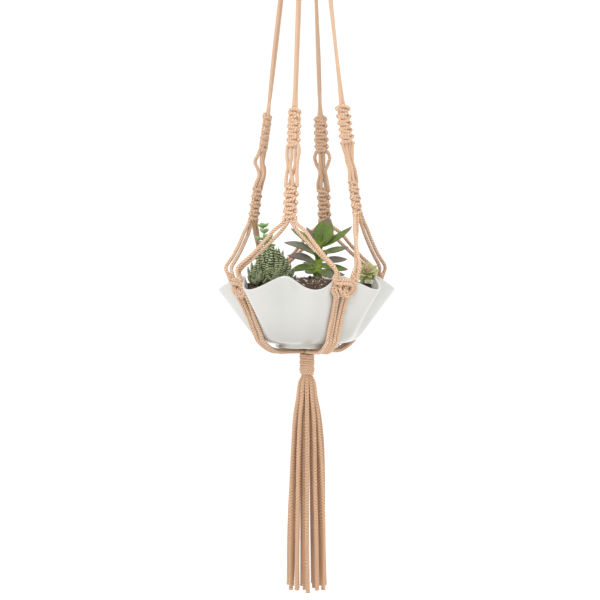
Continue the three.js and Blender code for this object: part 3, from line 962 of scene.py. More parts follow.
class PLANTER_OT_legs(bpy.types.Operator):
    """Runs a pair of cords from each lower row to the rim knots on its two sides"""

    bl_idname = "planter.legs"
    bl_label = "Legs"

    # The inner and the outer cord of a leg: how far along the row it leaves, how far along the rim
    # it arrives, how far it stands apart on the way, and how far it bows outward by the knot.
    INNER = (0.0027, -0.0105, -0.0034, 0.0056)
    OUTER = (0.0082, -0.0155, 0.0034, 0.0066)
    # The back arm's legs part further on the way.
    WIDER = {"back": 1.5}

    def execute(self, context):
        for seed, name in enumerate(CORNERS):
            corner = Corner(name)
            for side, arm_name, hand in zip("ab", CORNERS[name], (1, -1)):
                self.leg(corner, Arm(arm_name), hand, side, 60 + seed * 2 + (hand > 0))
        return {"FINISHED"}

    def leg(self, corner, arm, hand, side, seed):
        start_z = arm.lower_z[1]
        cords = []
        for places in (self.INNER, self.OUTER):
            start_x, knot_x, spread = (hand * place for place in places[:3])
            spread *= self.WIDER.get(arm.name, 1)
            above = arm.at(start_x, 0.0, start_z + 0.004)
            leave = arm.at(start_x * 1.08, 0.0008, start_z - 0.004)
            arrive = corner.at(knot_x, 0.002, corner.top_z - corner.middle_z)
            over = corner.at(knot_x * 0.98, 0.004, 0.0095)
            apart = around(arm.bearing + math.pi / 2, spread, 0)
            line = [lerp(leave, arrive, share) for share in (0.18, 0.4, 0.65, 0.88)]
            outward = around(corner.bearing, 1, 0)
            clear = (0.0, 0.0004, 0.0026, places[3])
            between = [
                point + apart * (1 - 0.5 * n / 3) + outward * clear[n]
                for n, point in enumerate(line)
            ]
            tone = (arm.tone + corner.tone) / 2
            cords.append(Cord([above, leave, *between, arrive, over], tone=tone))
        tie(f"{corner.name}_leg_pair_{side}", cords, seed, f"{corner.name}_leg_{side}")


def doubled(points, gap):
    """Two lines beside a first one, as a doubled cord lies, spread across the way it faces."""
    lines = ([], [])
    for n, point in enumerate(points):
        before, after = points[max(0, n - 1)], points[min(len(points) - 1, n + 1)]
        way = (after - before).normalized()
        facing = Vector((point.x, point.y, 0)).normalized()
        across = facing.cross(way).normalized()
        lines[0].append(point + across * gap / 2)
        lines[1].append(point - across * gap / 2)
    return lines


class PLANTER_OT_rim_knots(bpy.types.Operator):
    """Ties the four doubled knots in the valleys of the rim"""

    bl_idname = "planter.rim_knots"
    bl_label = "Rim knots"

    # Each doubled cord's way through the knot, in mm: along the rim, out from the wall, up.
    BAND = (
        (-12, 1, 17), (-15, 3, 12), (-12.5, 6.5, 8), (-6, 9, 7.4), (1, 10, 7.2), (8, 9, 6.2),
        (13.5, 6, 2.5), (14, 5, -3.5), (11.5, 6.5, -9), (6.5, 8.5, -11.2), (2.2, 8.6, -8),
        (2.8, 6, -3.6), (6, 2.5, -3), (7, 0.6, -8), (6.5, 0.4, -17))
    BACK = (
        (12, 1, 17), (14.5, 2.5, 11), (11, 2.5, 6), (3, 0.4, 3), (-7, 0.4, 1.5),
        (-13.5, 2, 0.5), (-15, 5, -4), (-12, 7.5, -8.5), (-8.5, 5, -12), (-7, 1, -17))
    HEART = (
        (-5, 0.6, 10), (-5.5, 5, 3.5), (-7, 7.6, -1), (-4.5, 7.8, -6), (-1, 5, -9.5),
        (0.5, 0.6, -12))

    def execute(self, context):
        for seed, name in enumerate(CORNERS):
            corner = Corner(name)
            gap = settings("cords").diameter * 0.93
            lines = []
            for way in (self.BAND, self.BACK):
                lines.extend(doubled(corner.along(way), gap))
            lines.append(corner.along(self.HEART))
            cords = [Cord(line, tone=corner.tone) for line in lines]
            tie(name + "_tied_knot", cords, 80 + seed, name + "_rim_knot")
        return {"FINISHED"}


class PLANTER_OT_basket_runs(bpy.types.Operator):
    """Lays four cords from each rim knot down its valley and in under the pot"""

    bl_idname = "planter.basket_runs"
    bl_label = "Basket runs"

    # Sideways places of the four cords at the knot, on the wall and under the foot, in mm.
    TIGHT = ((-9.2, -4.2, 4.2, 9.2), (-8.0, -3.0, 2.9, 8.0), (-7.0, -2.5, 2.5, 7.0))
    WIDE = ((-13.5, -8.4, 8.4, 13.5), (-10.5, -5.6, 5.6, 10.5), (-7.0, -2.5, 2.5, 7.0))
    # Under the turn of the pot: radius and height above the foot, in mm.
    UNDER = ((76, 11.5), (67.5, 4), (59, -0.6), (50, -3), (40, -3.2), (28, -3.2), (14.6, -3.2))

    def execute(self, context):
        for seed, name in enumerate(CORNERS):
            corner = Corner(name)
            foot = POT_LOW[2]
            spread = self.WIDE if name == "front_left" else self.TIGHT
            cords = []
            for place in range(4):
                at_knot, on_side, below = (row[place] / 1000 for row in spread)
                points = [
                    corner.at(at_knot * 0.9, 0.001, -0.009),
                    corner.at(at_knot, 0.0006, corner.low_z - corner.middle_z),
                ]
                for n, height in enumerate((0.066, 0.055, 0.043, 0.031, 0.021)):
                    x = lerp(at_knot, on_side, min(1, (n + 1) / 3))
                    points.append(on_wall(corner.bearing, x, foot + height, 0.0031))
                for n, (radius, height) in enumerate(self.UNDER):
                    x = lerp(on_side, below, (n + 1) / len(self.UNDER))
                    slack = 0.0026 * min(1, n / 3) if place in (0, 3) else 0
                    line = around(corner.bearing, radius / 1000, foot + height / 1000 - slack)
                    points.append(line + around(corner.bearing + math.pi / 2, x, 0))
                cords.append(Cord(points, tone=corner.tone * 0.97))
            tie(name + "_run_cords", cords, 90 + seed, name + "_basket_run")
        return {"FINISHED"}


# ---- Wraps, crown and ring.

def wrap_turns(core_r, top_z, end_z, tone, seed):
    """A cord wound round and round between two levels, with its ends tucked in."""
    size = settings("cords").wrap
    radius = core_r + size / 2
    steps = 10 * round((top_z - end_z) / (size * 0.98))
    points = [around(0.2 * seed, core_r * 0.55, top_z - 0.001)]
    for n in range(steps + 1):
        angle = FULL_TURN * n / 10 + 0.2 * seed + 0.6
        z = lerp(top_z - size / 2, end_z + size / 2, n / steps)
        uneven = 0.0003 * math.sin(angle * 0.37 + seed) + 0.0002 * math.sin(angle * 1.7)
        points.append(around(angle, radius + uneven, z + uneven))
    points.append(around(angle + 0.6, core_r * 0.55, end_z + 0.001))
    return Cord(points, size, tone)


class PLANTER_OT_base(bpy.types.Operator):
    """Gathers the sixteen cords under the pot and binds them with the base wrap"""

    bl_idname = "planter.base"
    bl_label = "Base"

    def execute(self, context):
        low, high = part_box("base_wrap")
        wrap = wrap_turns(0.0072, high[2], low[2], 0.95, 3)
        tie("base_binding", [wrap], 3, "base_wrap")
        level = POT_LOW[2] - 0.0032
        cords = []
        for name in CORNERS:
            bearing = Corner(name).bearing
            for n, x in enumerate(PLANTER_OT_basket_runs.TIGHT[2]):
                side = around(bearing + math.pi / 2, x / 1000, 0)
                outer = n in (0, 3)
                pack = around(bearing + (n - 1.5) * 0.42, 0.0056 if outer else 0.0022, 0)
                points = [
                    around(bearing, 0.0165, level - (0.0026 if outer else 0)) + side,
                    around(bearing, 0.0125, level - 0.0016) + side * 0.85,
                    around(bearing, 0.0085, level - 0.0030) + side * 0.55,
                    pack * 1.15 + Vector((0, 0, high[2] + 0.001)),
                    pack + Vector((0, 0, high[2] - 0.006)),
                    pack + Vector((0, 0, low[2] + 0.003)),
                ]
                # Painted shade: the gathered cords under the pot are painted darker.
                cords.append(Cord(
                    points, tone=0.84,
                    squeeze=lambda share: 0.97 - 0.32 * min(1, max(0, (share - 0.12) / 0.25))))
        tie("gathered_cords", cords, 5, "base_gather")
        return {"FINISHED"}


class PLANTER_OT_crown(bpy.types.Operator):
    """Folds four cords over the ring and binds them with the crown wrap"""

    bl_idname = "planter.crown"
    bl_label = "Crown"

    def execute(self, context):
        low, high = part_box("crown_wrap")
        wrap = wrap_turns(0.0082, high[2], low[2], 0.97, 6)
        tie("crown_binding", [wrap], 6, "crown_wrap")
        swing_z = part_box("hanging_ring")[0][2] + RING_WIRE / 2
        size = settings("cords").diameter
        lift = RING_WIRE / 2 + size / 2 + 0.0019
        cords = []
        for n in range(4):
            x = (n - 1.5) * size * 0.98
            rise = 0.001 * abs(n - 1.5)
            sides = []
            for hand in (-1, 1):
                pack = Vector((x * 0.62, hand * (0.0056 if n in (1, 2) else 0.0034), 0))
                sides.append([
                    pack + Vector((0, 0, low[2] - 0.002)),
                    pack + Vector((0, 0, high[2] - 0.010)),
                    pack + Vector((0, 0, high[2])),
                    Vector((x, hand * lift * 0.94, high[2] + 0.009)),
                    Vector((x, hand * lift * 0.86, swing_z + rise + 0.0028)),
                ])
            over = Vector((x, 0, swing_z + lift + rise))
            cords.append(Cord(
                [*sides[0], over, *reversed(sides[1])], tone=0.97,
                squeeze=lambda share: 0.8 + 0.2 * min(1, 6 * min(share, 1 - share))))
        tie("crown_loops", cords, 7, "ring_loops")
        return {"FINISHED"}


def steel_look():
    """Brushed wire with faint lines round the ring."""
    look = Look("ring_wire")
    x, y, z = look.parts(look.places())
    turned = look.maths("ARCTAN2", x, z + 0.025)
    lines = look.noise(look.vector(turned * 3, y * 900, z * 30), 6, 4, 0.7)
    specks = look.noise(look.places(), 420, 3)
    colour = look.mix(
        look.between(lines, 0.3, 0.75), (0.27, 0.255, 0.22, 1), (0.43, 0.415, 0.375, 1))
    rough = 0.26 + lines * 0.16 + specks * 0.06
    return look.finish(
        Base_Color=colour, Metallic=1.0, Roughness=rough, Normal=look.bump(lines, 0.00004, 0.5))


class PLANTER_OT_ring(bpy.types.Operator):
    """Turns the hanging ring and its butt weld"""

    bl_idname = "planter.ring"
    bl_label = "Ring"

    def execute(self, context):
        low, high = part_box("hanging_ring")
        wire_r = RING_WIRE / 2
        radius = (high[2] - low[2]) / 2 - wire_r
        centre = Vector((0, 0, (high[2] + low[2]) / 2))
        bm = bmesh.new()
        bmesh.ops.create_circle(
            bm, segments=WIRE_SIDES, radius=wire_r,
            matrix=Matrix.Translation(centre + Vector((radius, 0, 0))))
        bmesh.ops.spin(
            bm, geom=bm.verts[:] + bm.edges[:], cent=centre, axis=(0, 1, 0), angle=FULL_TURN,
            steps=RING_STEPS, use_merge=True, use_duplicate=False)
        # The weld is a low ridge round the wire, a little to the side of the ring's top.
        for vert in bm.verts:
            line = vert.co - centre
            if line.z > radius - 0.02:
                near = math.exp(-((line.x - 0.012) / 0.0011) ** 2)
                core = Vector((line.x, 0, line.z)).normalized() * radius
                vert.co += (line - core) * 0.1 * near
        hang_piece(finished(bm, "wire_ring", steel_look()), "ring", "ring_steel", "hanging_ring")
        return {"FINISHED"}


def finished(bm, name, material):
    """Closes a bmesh into a smooth-shaded piece with a material."""
    bmesh.ops.remove_doubles(bm, verts=bm.verts, dist=1e-6)
    bmesh.ops.recalc_face_normals(bm, faces=bm.faces)
    for face in bm.faces:
        face.smooth = True
    mesh = bpy.data.meshes.new(name)
    bm.to_mesh(mesh)
    bm.free()
    mesh.materials.append(material)
    piece = bpy.data.objects.new(name, mesh)
    bpy.context.scene.collection.objects.link(piece)
    return piece


# ---- Pot and soil.

def glaze_look():
    """White glaze, thin and warm on the rim, pooled in the valleys, with painted shade low on the
    bowl.
    """
    pot = settings("pot")
    look = Look("white_glaze")
    x, y, z = look.parts(look.places())
    bearing = look.maths("ARCTAN2", x, 0 - y)
    wave = look.maths("COSINE", (bearing - pot.flute_bearing) * pot.flutes)
    rise = look.between(z, POT_LOW[2], POT_HIGH[2])
    broad = look.noise(look.places(), 14, 3)
    fine = look.noise(look.places(), 900, 2)
    glaze = linear(pot.glaze)
    pooled = look.mix(0.5 - wave * 0.5 * rise, glaze, shade(glaze, 0.955, 0.965, 0.955))
    body = look.mix(look.between(broad, 0.35, 0.7) * 0.5, pooled, shade(glaze, 1.035))
    edge = look.out(look.node("ShaderNodeNewGeometry"), "Pointiness")
    thin = look.between(edge, 0.53, 0.62) * 0.35
    body = look.mix(thin, body, (0.80, 0.76, 0.69, 1))
    # Painted shade: the glaze is painted darker towards the bottom of the bowl.
    low = look.between(z, POT_LOW[2] + 0.062, POT_LOW[2] + 0.004)
    body = look.mix(low * 0.68, body, shade(glaze, 0.72, 0.71, 0.69))
    bare = look.between(z, POT_LOW[2] + 0.0016, POT_LOW[2] + 0.0004)
    colour = look.mix(bare, body, (0.74, 0.69, 0.60, 1))
    pits = look.between(look.cells(look.places(), 210), 0.03, 0.10)
    rough = 0.15 + broad * 0.05 + bare * 0.6
    height = look.noise(look.places(), 55, 2) * 0.6 + pits * 0.25 + fine * bare * 0.6
    return look.finish(
        Base_Color=colour, Roughness=rough, Coat_Weight=0.35 - bare * 0.35, Coat_Roughness=0.06,
        Specular_IOR_Level=0.5, Normal=look.bump(height, 0.00035, 0.4))


class PLANTER_OT_pot(bpy.types.Operator):
    """Turns the bowl and presses its flutes"""

    bl_idname = "planter.pot"
    bl_label = "Pot"

    def execute(self, context):
        bm = bmesh.new()
        verts = [bm.verts.new((0, -radius, height)) for radius, height in self.outline()]
        edges = [bm.edges.new(pair) for pair in zip(verts, verts[1:])]
        bmesh.ops.spin(
            bm, geom=verts + edges, cent=(0, 0, 0), axis=(0, 0, 1), angle=FULL_TURN,
            steps=BOWL_STEPS, use_merge=True, use_duplicate=False)
        bmesh.ops.remove_doubles(bm, verts=bm.verts, dist=1e-6)
        for vert in bm.verts:
            self.flute(vert)
        hang_piece(finished(bm, "fluted_bowl", glaze_look()), "pot", "pot_glaze", "pot")
        return {"FINISHED"}

    @staticmethod
    def outline():
        """The wall's outline as radius and height, from the drain hole round to the inside."""
        pot = settings("pot")
        drain, foot_w, wall = 0.006, 0.006, pot.wall
        inner, outer, recess = pot.foot_radius - foot_w, pot.foot_radius, pot.foot_height
        points = [
            (drain, recess), (drain * 2, recess), (inner - 0.002, recess),
            (inner - 0.0006, recess - 0.0006), (inner, recess - 0.002), (inner + 0.0004, 0.0009),
            (inner + 0.0013, 0), (outer - 0.0013, 0), (outer - 0.0003, 0.0006),
            (outer + 0.0006, 0.0028), (outer + 0.0018, 0.0050)]
        lip_z = pot.rim_height - wall / 2
        turn = pot.turn_height - pot.base_height
        heights = [pot.base_height + turn * (n / 8) ** 2 for n in range(1, 9)]
        heights += [lerp(pot.turn_height, lip_z, n / 16) for n in range(1, 17)]
        points += [(side_radius(height), height) for height in heights]
        lip_r = side_radius(lip_z) - wall / 2 + 0.0002
        for n in range(1, 8):
            angle = math.pi * n / 8
            points.append(
                (lip_r + wall / 2 * math.cos(angle), lip_z + wall / 2 * math.sin(angle)))
        for n in range(12, -1, -1):
            height = lerp(pot.turn_height + wall / 2, lip_z, n / 12)
            points.append((side_radius(height) - wall, height))
        inside = pot.base_height + wall
        points += [
            (outer + 0.013, inside + 0.003), (outer - 0.002, inside), (drain * 2, inside),
            (drain, inside), (drain, recess)]
        return points

    @staticmethod
    def flute(vert):
        """Moves a point of the plain bowl in or out, and up or down, with the flutes."""
        pot = settings("pot")
        radius = vert.co.xy.length
        height = vert.co.z
        reach = min(1, radius / (straight_radius(height) - 2 * pot.wall))
        share = min(1, flute_share(height)) * reach
        wave = flute_wave(bearing_of(vert.co))
        grown = 1 + wave * pot.flute_depth * share / radius
        vert.co.x *= grown
        vert.co.y *= grown
        vert.co.z = height - wave * pot.rim_wave * share + POT_LOW[2]


def soil_look():
    """Dark potting mix in clumps, with flecks of bark."""
    look = Look("potting_mix")
    dark = linear(settings("plants").soil)
    grains = look.cells(look.places(), 520)
    clumps = look.noise(look.places(), 90, 4, 0.65)
    flecks = look.between(look.noise(look.places(), 700, 2), 0.62, 0.7)
    colour = look.mix(look.between(clumps, 0.35, 0.7), shade(dark, 0.55), shade(dark, 1.7))
    colour = look.mix(flecks * 0.8, colour, (0.42, 0.30, 0.19, 1))
    return look.finish(
        Base_Color=colour, Roughness=0.95, Normal=look.bump(grains + clumps, 0.0009, 0.9))


def grit_look():
    """Pale and dark chips of stone and bark."""
    look = Look("soil_grit")
    kinds = look.noise(look.places(), 160, 1)
    chips = look.noise(look.places(), 1500, 3)
    colour = look.mix(
        look.between(kinds, 0.40, 0.62), (0.34, 0.25, 0.17, 1), (0.75, 0.70, 0.62, 1))
    colour = look.mix(chips * 0.5, colour, shade((0.28, 0.21, 0.15), 0.8))
    return look.finish(
        Base_Color=colour, Roughness=0.8, Normal=look.bump(chips, 0.0004, 0.7))


def soil_top(x, y):
    """The soil's height at a place, as it heaps up to the middle."""
    edge = (SOIL_HIGH[0] - SOIL_LOW[0]) / 2 * 0.93
    share = min(1.1, math.hypot(x, y) / edge)
    crown = SOIL_HIGH[2] + 0.0035
    uneven = 0.0032 * noise.fractal(Vector((x, y, 0)) * 42, 0.7, 2, 3)
    return crown - 0.0172 * share ** 1.8 + uneven


SOIL_RINGS = 26
HANDFULS = 20
GRAINS_IN_HANDFUL = 30
GRIT_SEED = 11
GRIT_SPREAD = 0.094


class PLANTER_OT_soil(bpy.types.Operator):
    """Heaps the potting mix and scatters its grit"""

    bl_idname = "planter.soil"
    bl_label = "Soil"

    def execute(self, context):
        pot = settings("pot")
        bm = bmesh.new()
        bmesh.ops.create_circle(bm, cap_ends=False, segments=144, radius=1)
        rim = bm.edges[:]
        for _ in range(SOIL_RINGS):
            grown = bmesh.ops.extrude_edge_only(bm, edges=rim)["geom"]
            verts = {item for item in grown if isinstance(item, bmesh.types.BMVert)}
            rim = [item for item in grown if isinstance(item, bmesh.types.BMEdge)
                   and verts.issuperset(item.verts)]
            bmesh.ops.scale(bm, verts=list(verts), vec=(0.865,) * 3)
        bmesh.ops.contextual_create(bm, geom=rim)
        top_edges = [edge for edge in bm.edges if edge.is_boundary]
        skirt = bmesh.ops.extrude_edge_only(bm, edges=top_edges)["geom"]
        skirt_verts = {item for item in skirt if isinstance(item, bmesh.types.BMVert)}
        height = pot.rim_height - 0.0125
        for vert in bm.verts:
            bearing = bearing_of(vert.co)
            share = vert.co.xy.length
            wave = flute_wave(bearing)
            edge_r = side_radius(height) - pot.wall - 0.0006
            edge_r += wave * pot.flute_depth * flute_share(height)
            place = around(bearing, edge_r * share, 0)
            dip = wave * pot.rim_wave * flute_share(height) * share ** 3
            drop = 0.012 if vert in skirt_verts else 0
            pull = 1 - drop * 0.75 / edge_r
            level = soil_top(place.x, place.y) - dip * 0.55
            vert.co = Vector((place.x * pull, place.y * pull, level - drop))
        bottom = [edge for edge in bm.edges if edge.is_boundary]
        bmesh.ops.holes_fill(bm, edges=bottom, sides=0)
        hang_piece(finished(bm, "soil_heap", soil_look()), "pot", "potting_mix", "soil")
        grit = self.grit()
        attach(grit, "pot")
        return {"FINISHED"}

    @staticmethod
    def grit():
        """Small handfuls of grains, each made apart and then put together."""
        rng = np.random.default_rng(GRIT_SEED)
        whole = bmesh.new()
        for _ in range(HANDFULS):
            handful = bmesh.new()
            for _ in range(GRAINS_IN_HANDFUL):
                bearing = rng.random() * FULL_TURN
                radius = GRIT_SPREAD * math.sqrt(rng.random())
                place = around(bearing, radius, 0)
                size = 0.0009 + 0.0016 * rng.random() ** 2
                spin = Matrix.Rotation(rng.random() * 6, 4, Vector(rng.random(3)).normalized())
                flat = Matrix.Diagonal((size, size * (0.6 + 0.4 * rng.random()), size * 0.6, 1))
                place.z = soil_top(place.x, place.y) + size * 0.2
                bmesh.ops.create_icosphere(
                    handful, subdivisions=1, radius=1,
                    matrix=Matrix.Translation(place) @ spin @ flat)
            mesh = bpy.data.meshes.new("handful")
            handful.to_mesh(mesh)
            handful.free()
            whole.from_mesh(mesh)
            bpy.data.meshes.remove(mesh)
        noise.seed_set(GRIT_SEED)
        for vert in whole.verts:
            vert.co += noise.noise_vector(vert.co * 1900) * 0.0003
        return finished(whole, "soil_grit_grains", grit_look())


# ---- Plants.

class Sprig:
    """A plant in the making: leaves and stems in one mesh that know where along they are."""

    def __init__(self):
        self.bm = bmesh.new()
        self.layer = self.bm.verts.layers.float_vector.new("leaf")

    def leaf(self, base, reach, up, width, thick, bow=0.0, blunt=0.5, cup=0.3, tone=0.5,
             fine=(10, 9)):
        """A fleshy leaf from its base to its tip: it swells, sags by bow and narrows to a point."""
        length = reach.length
        way = reach.normalized()
        across = way.cross(up).normalized()
        face = across.cross(way).normalized()
        made = bmesh.ops.create_uvsphere(
            self.bm, u_segments=fine[0], v_segments=fine[1], radius=1)["verts"]
        for vert in made:
            share = math.acos(max(-1, min(1, -vert.co.z))) / math.pi
            ring = math.hypot(vert.co.x, vert.co.y)
            turn_x, turn_y = (vert.co.xy / ring) if ring > 1e-6 else (0, 0)
            swell = share ** (0.55 + blunt)
            full = math.sin(math.pi * swell) ** 0.75
            if share < 0.5:
                full = max(full, 0.5 * min(1, share * 12) * (1 - share))
            wide = width / 2 * full * turn_x
            deep = thick / 2 * full ** 0.7 * turn_y * (0.5 if turn_y > 0 else 1)
            hollow = cup * width * (full * turn_x) ** 2
            sag = bow * 4 * (share * share - share)
            lean = bow * 4 * (2 * share - 1)
            normal = (face - way * lean).normalized()
            line = way * length * share + face * length * sag
            vert.co = base + line + across * wide + normal * (deep + hollow)
            vert[self.layer] = Vector((share, turn_x, tone))

    def stem(self, points, start_r, end_r, tone=0.3):
        """A round stem along a smooth line."""
        line = [Vector(p) for p in smooth(points, 0.0022)]
        ring = None
        for n, point in enumerate(line):
            way = (line[min(n + 1, len(line) - 1)] - line[max(n - 1, 0)]).normalized()
            turn = way.to_track_quat("Z", "Y").to_matrix().to_4x4()
            radius = lerp(start_r, end_r, n / (len(line) - 1)) * (1 + 0.08 * math.sin(n * 1.7))
            made = bmesh.ops.create_circle(
                self.bm, cap_ends=n in (0, len(line) - 1), segments=10, radius=radius,
                matrix=Matrix.Translation(point) @ turn)["verts"]
            for vert in made:
                vert[self.layer] = Vector((0.0, 0.0, tone))
            edges = [edge for edge in {e for v in made for e in v.link_edges}
                     if all(v in made for v in edge.verts)]
            if ring:
                bmesh.ops.bridge_loops(self.bm, edges=ring + edges)
            ring = edges

    def plant(self, name, node, **choices):
        """Puts the plant in the pot, with leaves of its own colour in the settings."""
        kind = name.split("_")[0]
        look = leaf_look(kind + "_leaf", getattr(settings("plants"), kind), **choices)
        hang_piece(finished(self.bm, name, look), "pot", kind + "_leaf", node)


def leaf_look(name, colour, tip, back, tip_from, wax, vein=0.0, bands=None, root=None):
    """A fleshy leaf: its tip and edges tinted, mottled, with faint lines along it."""
    look = Look(name)
    share, across, tone = look.parts(look.own("leaf"))
    mottle = look.noise(look.places(), 130, 4, 0.6)
    fine = look.noise(look.places(), 900, 2)
    base = linear(colour)
    body = look.mix(look.between(mottle, 0.3, 0.75), shade(base, 0.78), shade(base, 1.22))
    body = look.mix(look.between(tone, 0.5, 1.0), body, back)
    body = look.mix(look.between(share, 0.42, 0.0) * 0.75, body, root or shade(base, 1.3))
    edge = look.between(look.maths("ABSOLUTE", across), 0.82, 1.0) * 0.45
    tipped = look.maths("MAXIMUM", look.between(share + mottle * 0.14, tip_from, 1.04), edge)
    body = look.mix(tipped, body, tip)
    lines = look.maths("SINE", across * 16 + fine * 3) * 0.5 + 0.5
    body = look.mix(lines * vein, body, shade(base, 0.6))
    height = mottle * 0.6 + lines * vein + fine * 0.3
    if bands:
        count, width = bands
        wander = look.noise(look.places(), 300, 2)
        band = look.maths("SINE", share * count + wander * 7 + tone * 9) * 0.5 + 0.5
        white = look.between(band, 1 - width, 1 - width * 0.45)
        body = look.mix(white * 0.9, body, (0.62, 0.69, 0.42, 1))
        height = height + white * 1.5
    return look.finish(
        Base_Color=body, Roughness=0.42 + wax * (mottle * 0.6), Specular_IOR_Level=0.4,
        Subsurface_Weight=0.06, Subsurface_Radius=(0.004, 0.006, 0.002), Subsurface_Scale=1.0,
        Normal=look.bump(height, 0.0004, 0.55))


def root_of(node):
    """Where a plant leaves the soil, and how tall its space is."""
    low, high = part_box(node)
    root = Vector(((low[0] + high[0]) / 2, (low[1] + high[1]) / 2, low[2] - 0.002))
    return root, high[2] - low[2]


class PLANTER_OT_crassula(bpy.types.Operator):
    """Grows the stacked crassula on its two stems"""

    bl_idname = "planter.crassula"
    bl_label = "Stacked crassula"

    def execute(self, context):
        root, height = root_of("stacked_crassula")
        rng = np.random.default_rng(21)
        sprig = Sprig()
        stems = (
            ((0, 0.06), (-0.004, 0.30), (-0.001, 0.62), (-0.004, 0.93)),
            ((0.002, 0.12), (0.005, 0.35), (0.007, 0.55), (0.006, 0.68)))
        for number, stem in enumerate(stems):
            points = [root + Vector((x, 0.003 * number, height * up)) for x, up in stem]
            sprig.stem(points, 0.0019, 0.0011)
            line = smooth(points, 0.0078)
            for n, place in enumerate(line[1:]):
                top = n > len(line) - 4
                size = (0.0105 if top else 0.0135) * (0.85 + 0.3 * rng.random())
                for quarter in range(4):
                    bearing = quarter * math.pi / 2 + n * 0.8 + rng.random() * 0.5
                    rise = 0.15 + 0.55 * rng.random() + (0.5 if top else 0)
                    reach = around(bearing, 1, rise).normalized() * size
                    sprig.leaf(Vector(place), reach, Vector((0, 0, 1)), size * 0.72,
                               size * 0.36, bow=0.06, blunt=0.8, cup=0.18,
                               tone=0.3 + 0.6 * rng.random(), fine=(8, 7))
        sprig.plant(
            "crassula_sprig", "stacked_crassula", tip=(0.50, 0.58, 0.36, 1),
            back=(0.36, 0.50, 0.20, 1), tip_from=0.86, wax=0.3)
        return {"FINISHED"}


class PLANTER_OT_haworthia(bpy.types.Operator):
    """Grows the banded haworthia as a tight rosette of spiky leaves"""

    bl_idname = "planter.haworthia"
    bl_label = "Banded haworthia"

    def execute(self, context):
        root, height = root_of("zebra_haworthia")
        rng = np.random.default_rng(22)
        sprig = Sprig()
        # Heads: place beside the middle in mm, size, and how many leaves.
        heads = (
            (-2, 0, 1.0, 26), (-11, 6, 0.86, 20), (11, -2, 0.84, 20), (3, 13, 0.95, 20),
            (-19, -4, 0.58, 13), (20, 4, 0.66, 15), (-24, 8, 0.62, 9), (-16, -13, 0.42, 9),
            (9, -14, 0.45, 10))
        for x, y, size, count in heads:
            head = root + Vector((x / 1000, y / 1000, 0))
            head.z = min(head.z, soil_top(head.x, head.y)) - 0.002
            for n in range(count):
                share = n / (count - 1)
                bearing = n * GOLDEN_ANGLE + x
                rise = lerp(0.8, 6.5, share ** 1.3)
                start = head + around(bearing, 0.006 * (1 - share), 0.003 + 0.016 * share * size)
                length = size * lerp(0.026, height * 0.70, share ** 0.85)
                length *= 0.88 + 0.24 * rng.random()
                reach = around(bearing, 1, rise).normalized() * length
                sprig.leaf(start, reach, Vector((0, 0, 1)), 0.0074 + 0.004 * size, 0.0062,
                           bow=0.11 * (1 - share), blunt=0.0, cup=0.08,
                           tone=0.5 * rng.random(), fine=(8, 10))
        sprig.plant(
            "haworthia_rosette", "zebra_haworthia", tip=(0.16, 0.17, 0.06, 1),
            back=(0.05, 0.09, 0.03, 1), tip_from=0.9, wax=0.15, bands=(64, 0.34))
        return {"FINISHED"}


class PLANTER_OT_aeonium(bpy.types.Operator):
    """Grows the branched aeonium with its long pointed leaves"""

    bl_idname = "planter.aeonium"
    bl_label = "Branched aeonium"

    # Leaves in mm: start across and up, reach across, away and up, width, tone and bow.
    LEAVES = (
        (3, 48, 13, 3, 42, 31, 0.35, 0.05), (-6, 44, -34, 4, 31, 14, 0.25, -0.05),
        (-4, 35, -46, -8, 19, 15, 0.85, -0.09), (-7, 25, -38, 2, 10, 16, 0.95, -0.07),
        (-7, 17, -34, -6, -5, 15, 0.60, -0.08), (6, 47, 44, -3, 31, 13, 0.05, 0.06),
        (9, 39, 36, 4, 9, 13, 0.70, 0.03), (10, 29, 33, -2, 1, 15, 0.98, 0.04),
        (10, 20, 34, -6, -5, 15, 0.45, 0.03), (0, 15, 22, -27, -11, 17, 0.75, 0.03),
        (-1, 50, -16, 10, 27, 9, 0.90, 0.0), (3, 30, 8, 34, 14, 16, 0.80, 0.05),
        (0, 40, -8, 32, 24, 15, 0.50, 0.05), (-3, 22, -18, 32, 4, 15, 0.90, 0.05),
        (5, 20, 22, 30, 2, 15, 0.70, 0.05), (-3, 14, -16, -24, -3, 14, 0.55, 0.04),
        (1, 28, -6, -24, 12, 12, 0.30, -0.05), (4, 38, 9, -20, 22, 10, 0.15, -0.04),
        (6, 13, 34, 8, -6, 14, 0.90, 0.03), (1, 52, 2, -4, 20, 9, 0.10, 0.0))

    def execute(self, context):
        root = root_of("branched_aeonium")[0]
        sprig = Sprig()
        trunk = ((0, 0), (-0.001, 0.012), (0.001, 0.028), (0.002, 0.052))
        sprig.stem([root + Vector((x, 0, z)) for x, z in trunk], 0.0068, 0.0046, 0.2)
        for x, start, across, away, rise, width, tone, bow in self.LEAVES:
            base = root + Vector((x * 0.45, 0, start)) / 1000
            reach = Vector((across + x * 0.55, away, rise)) / 1000
            sprig.leaf(base, reach, Vector((0.02, -0.75, 1)), width / 1000,
                       width / 1000 * 0.36, bow=bow, blunt=0.42, cup=0.14, tone=tone,
                       fine=(14, 14))
        sprig.plant(
            "aeonium_branch", "branched_aeonium", tip=(0.20, 0.13, 0.12, 1),
            back=(0.17, 0.145, 0.135, 1), tip_from=0.80, vein=0.18, wax=0.25,
            root=(0.33, 0.44, 0.06, 1))
        return {"FINISHED"}


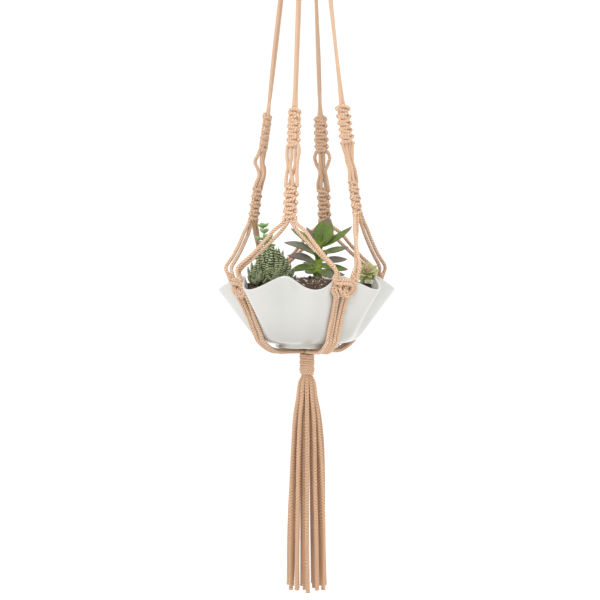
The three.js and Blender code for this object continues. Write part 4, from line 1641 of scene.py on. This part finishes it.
class PLANTER_OT_echeveria(bpy.types.Operator):
    """Grows the pale echeveria rosette with its pink heart"""

    bl_idname = "planter.echeveria"
    bl_label = "Pale echeveria"

    def execute(self, context):
        root, height = root_of("pale_echeveria")
        sprig = Sprig()
        sprig.stem([root, root + Vector((0.004, 0, height * 0.5))], 0.0035, 0.003, 0.2)
        heart = root + Vector((0.007, -0.004, height * 0.54))
        axis = Vector((0.12, -0.72, 0.68)).normalized()
        turn = axis.to_track_quat("Z", "Y").to_matrix()
        # Rings of leaves: how many, lean from the middle in degrees, and length in mm.
        rings = ((7, 84, 18.5), (7, 62, 16.5), (6, 44, 13.5), (5, 27, 9), (3, 12, 6))
        for level, (count, lean, long) in enumerate(rings):
            for n in range(count):
                bearing = FULL_TURN * n / count + level * 1.1
                angle = math.radians(lean + 6 * math.sin(n * 2.3 + level))
                way = turn @ around(bearing, math.sin(angle), math.cos(angle))
                start = heart + axis * 0.0012 * level + way * 0.001
                length = long / 1000 * (1 + 0.10 * math.sin(n * 1.7))
                sprig.leaf(start, way * length, axis, length * 0.50, length * 0.24,
                           bow=0.07, blunt=0.62, cup=0.20, tone=0.2 + 0.2 * level)
        sprig.plant(
            "echeveria_rosette", "pale_echeveria", tip=(0.66, 0.36, 0.28, 1),
            back=(0.68, 0.46, 0.34, 1), tip_from=0.93, wax=0.3)
        return {"FINISHED"}


# ---- The add-on.

PIECES = (
    PLANTER_OT_stage, PLANTER_OT_tassel, PLANTER_OT_top_cords, PLANTER_OT_knot_rows,
    PLANTER_OT_open_cords, PLANTER_OT_legs, PLANTER_OT_rim_knots, PLANTER_OT_basket_runs,
    PLANTER_OT_base, PLANTER_OT_crown, PLANTER_OT_ring, PLANTER_OT_pot, PLANTER_OT_soil,
    PLANTER_OT_crassula, PLANTER_OT_haworthia, PLANTER_OT_aeonium, PLANTER_OT_echeveria)


class PLANTER_PT_panel(bpy.types.Panel):
    """Lists the planter's sizes, colours and pieces"""

    bl_idname = "PLANTER_PT_panel"
    bl_label = "Hanging planter"
    bl_space_type = "VIEW_3D"
    bl_region_type = "UI"
    bl_category = "Planter"

    def draw(self, context):
        for name, group in SETTINGS.items():
            box = self.layout.box()
            for key in group.__annotations__:
                box.prop(getattr(context.scene, name), key)
        for piece in PIECES:
            self.layout.operator(piece.bl_idname)


def register():
    for name, group in SETTINGS.items():
        bpy.utils.register_class(group)
        setattr(bpy.types.Scene, name, PointerProperty(type=group))
    for item in (*PIECES, PLANTER_PT_panel):
        bpy.utils.register_class(item)


def unregister():
    for item in reversed((*PIECES, PLANTER_PT_panel)):
        bpy.utils.unregister_class(item)
    for name, group in SETTINGS.items():
        delattr(bpy.types.Scene, name)
        bpy.utils.unregister_class(group)


def main():
    register()
    for piece in PIECES:
        group, action = piece.bl_idname.split(".")
        getattr(getattr(bpy.ops, group), action)()


if __name__ == "__main__":
    main()
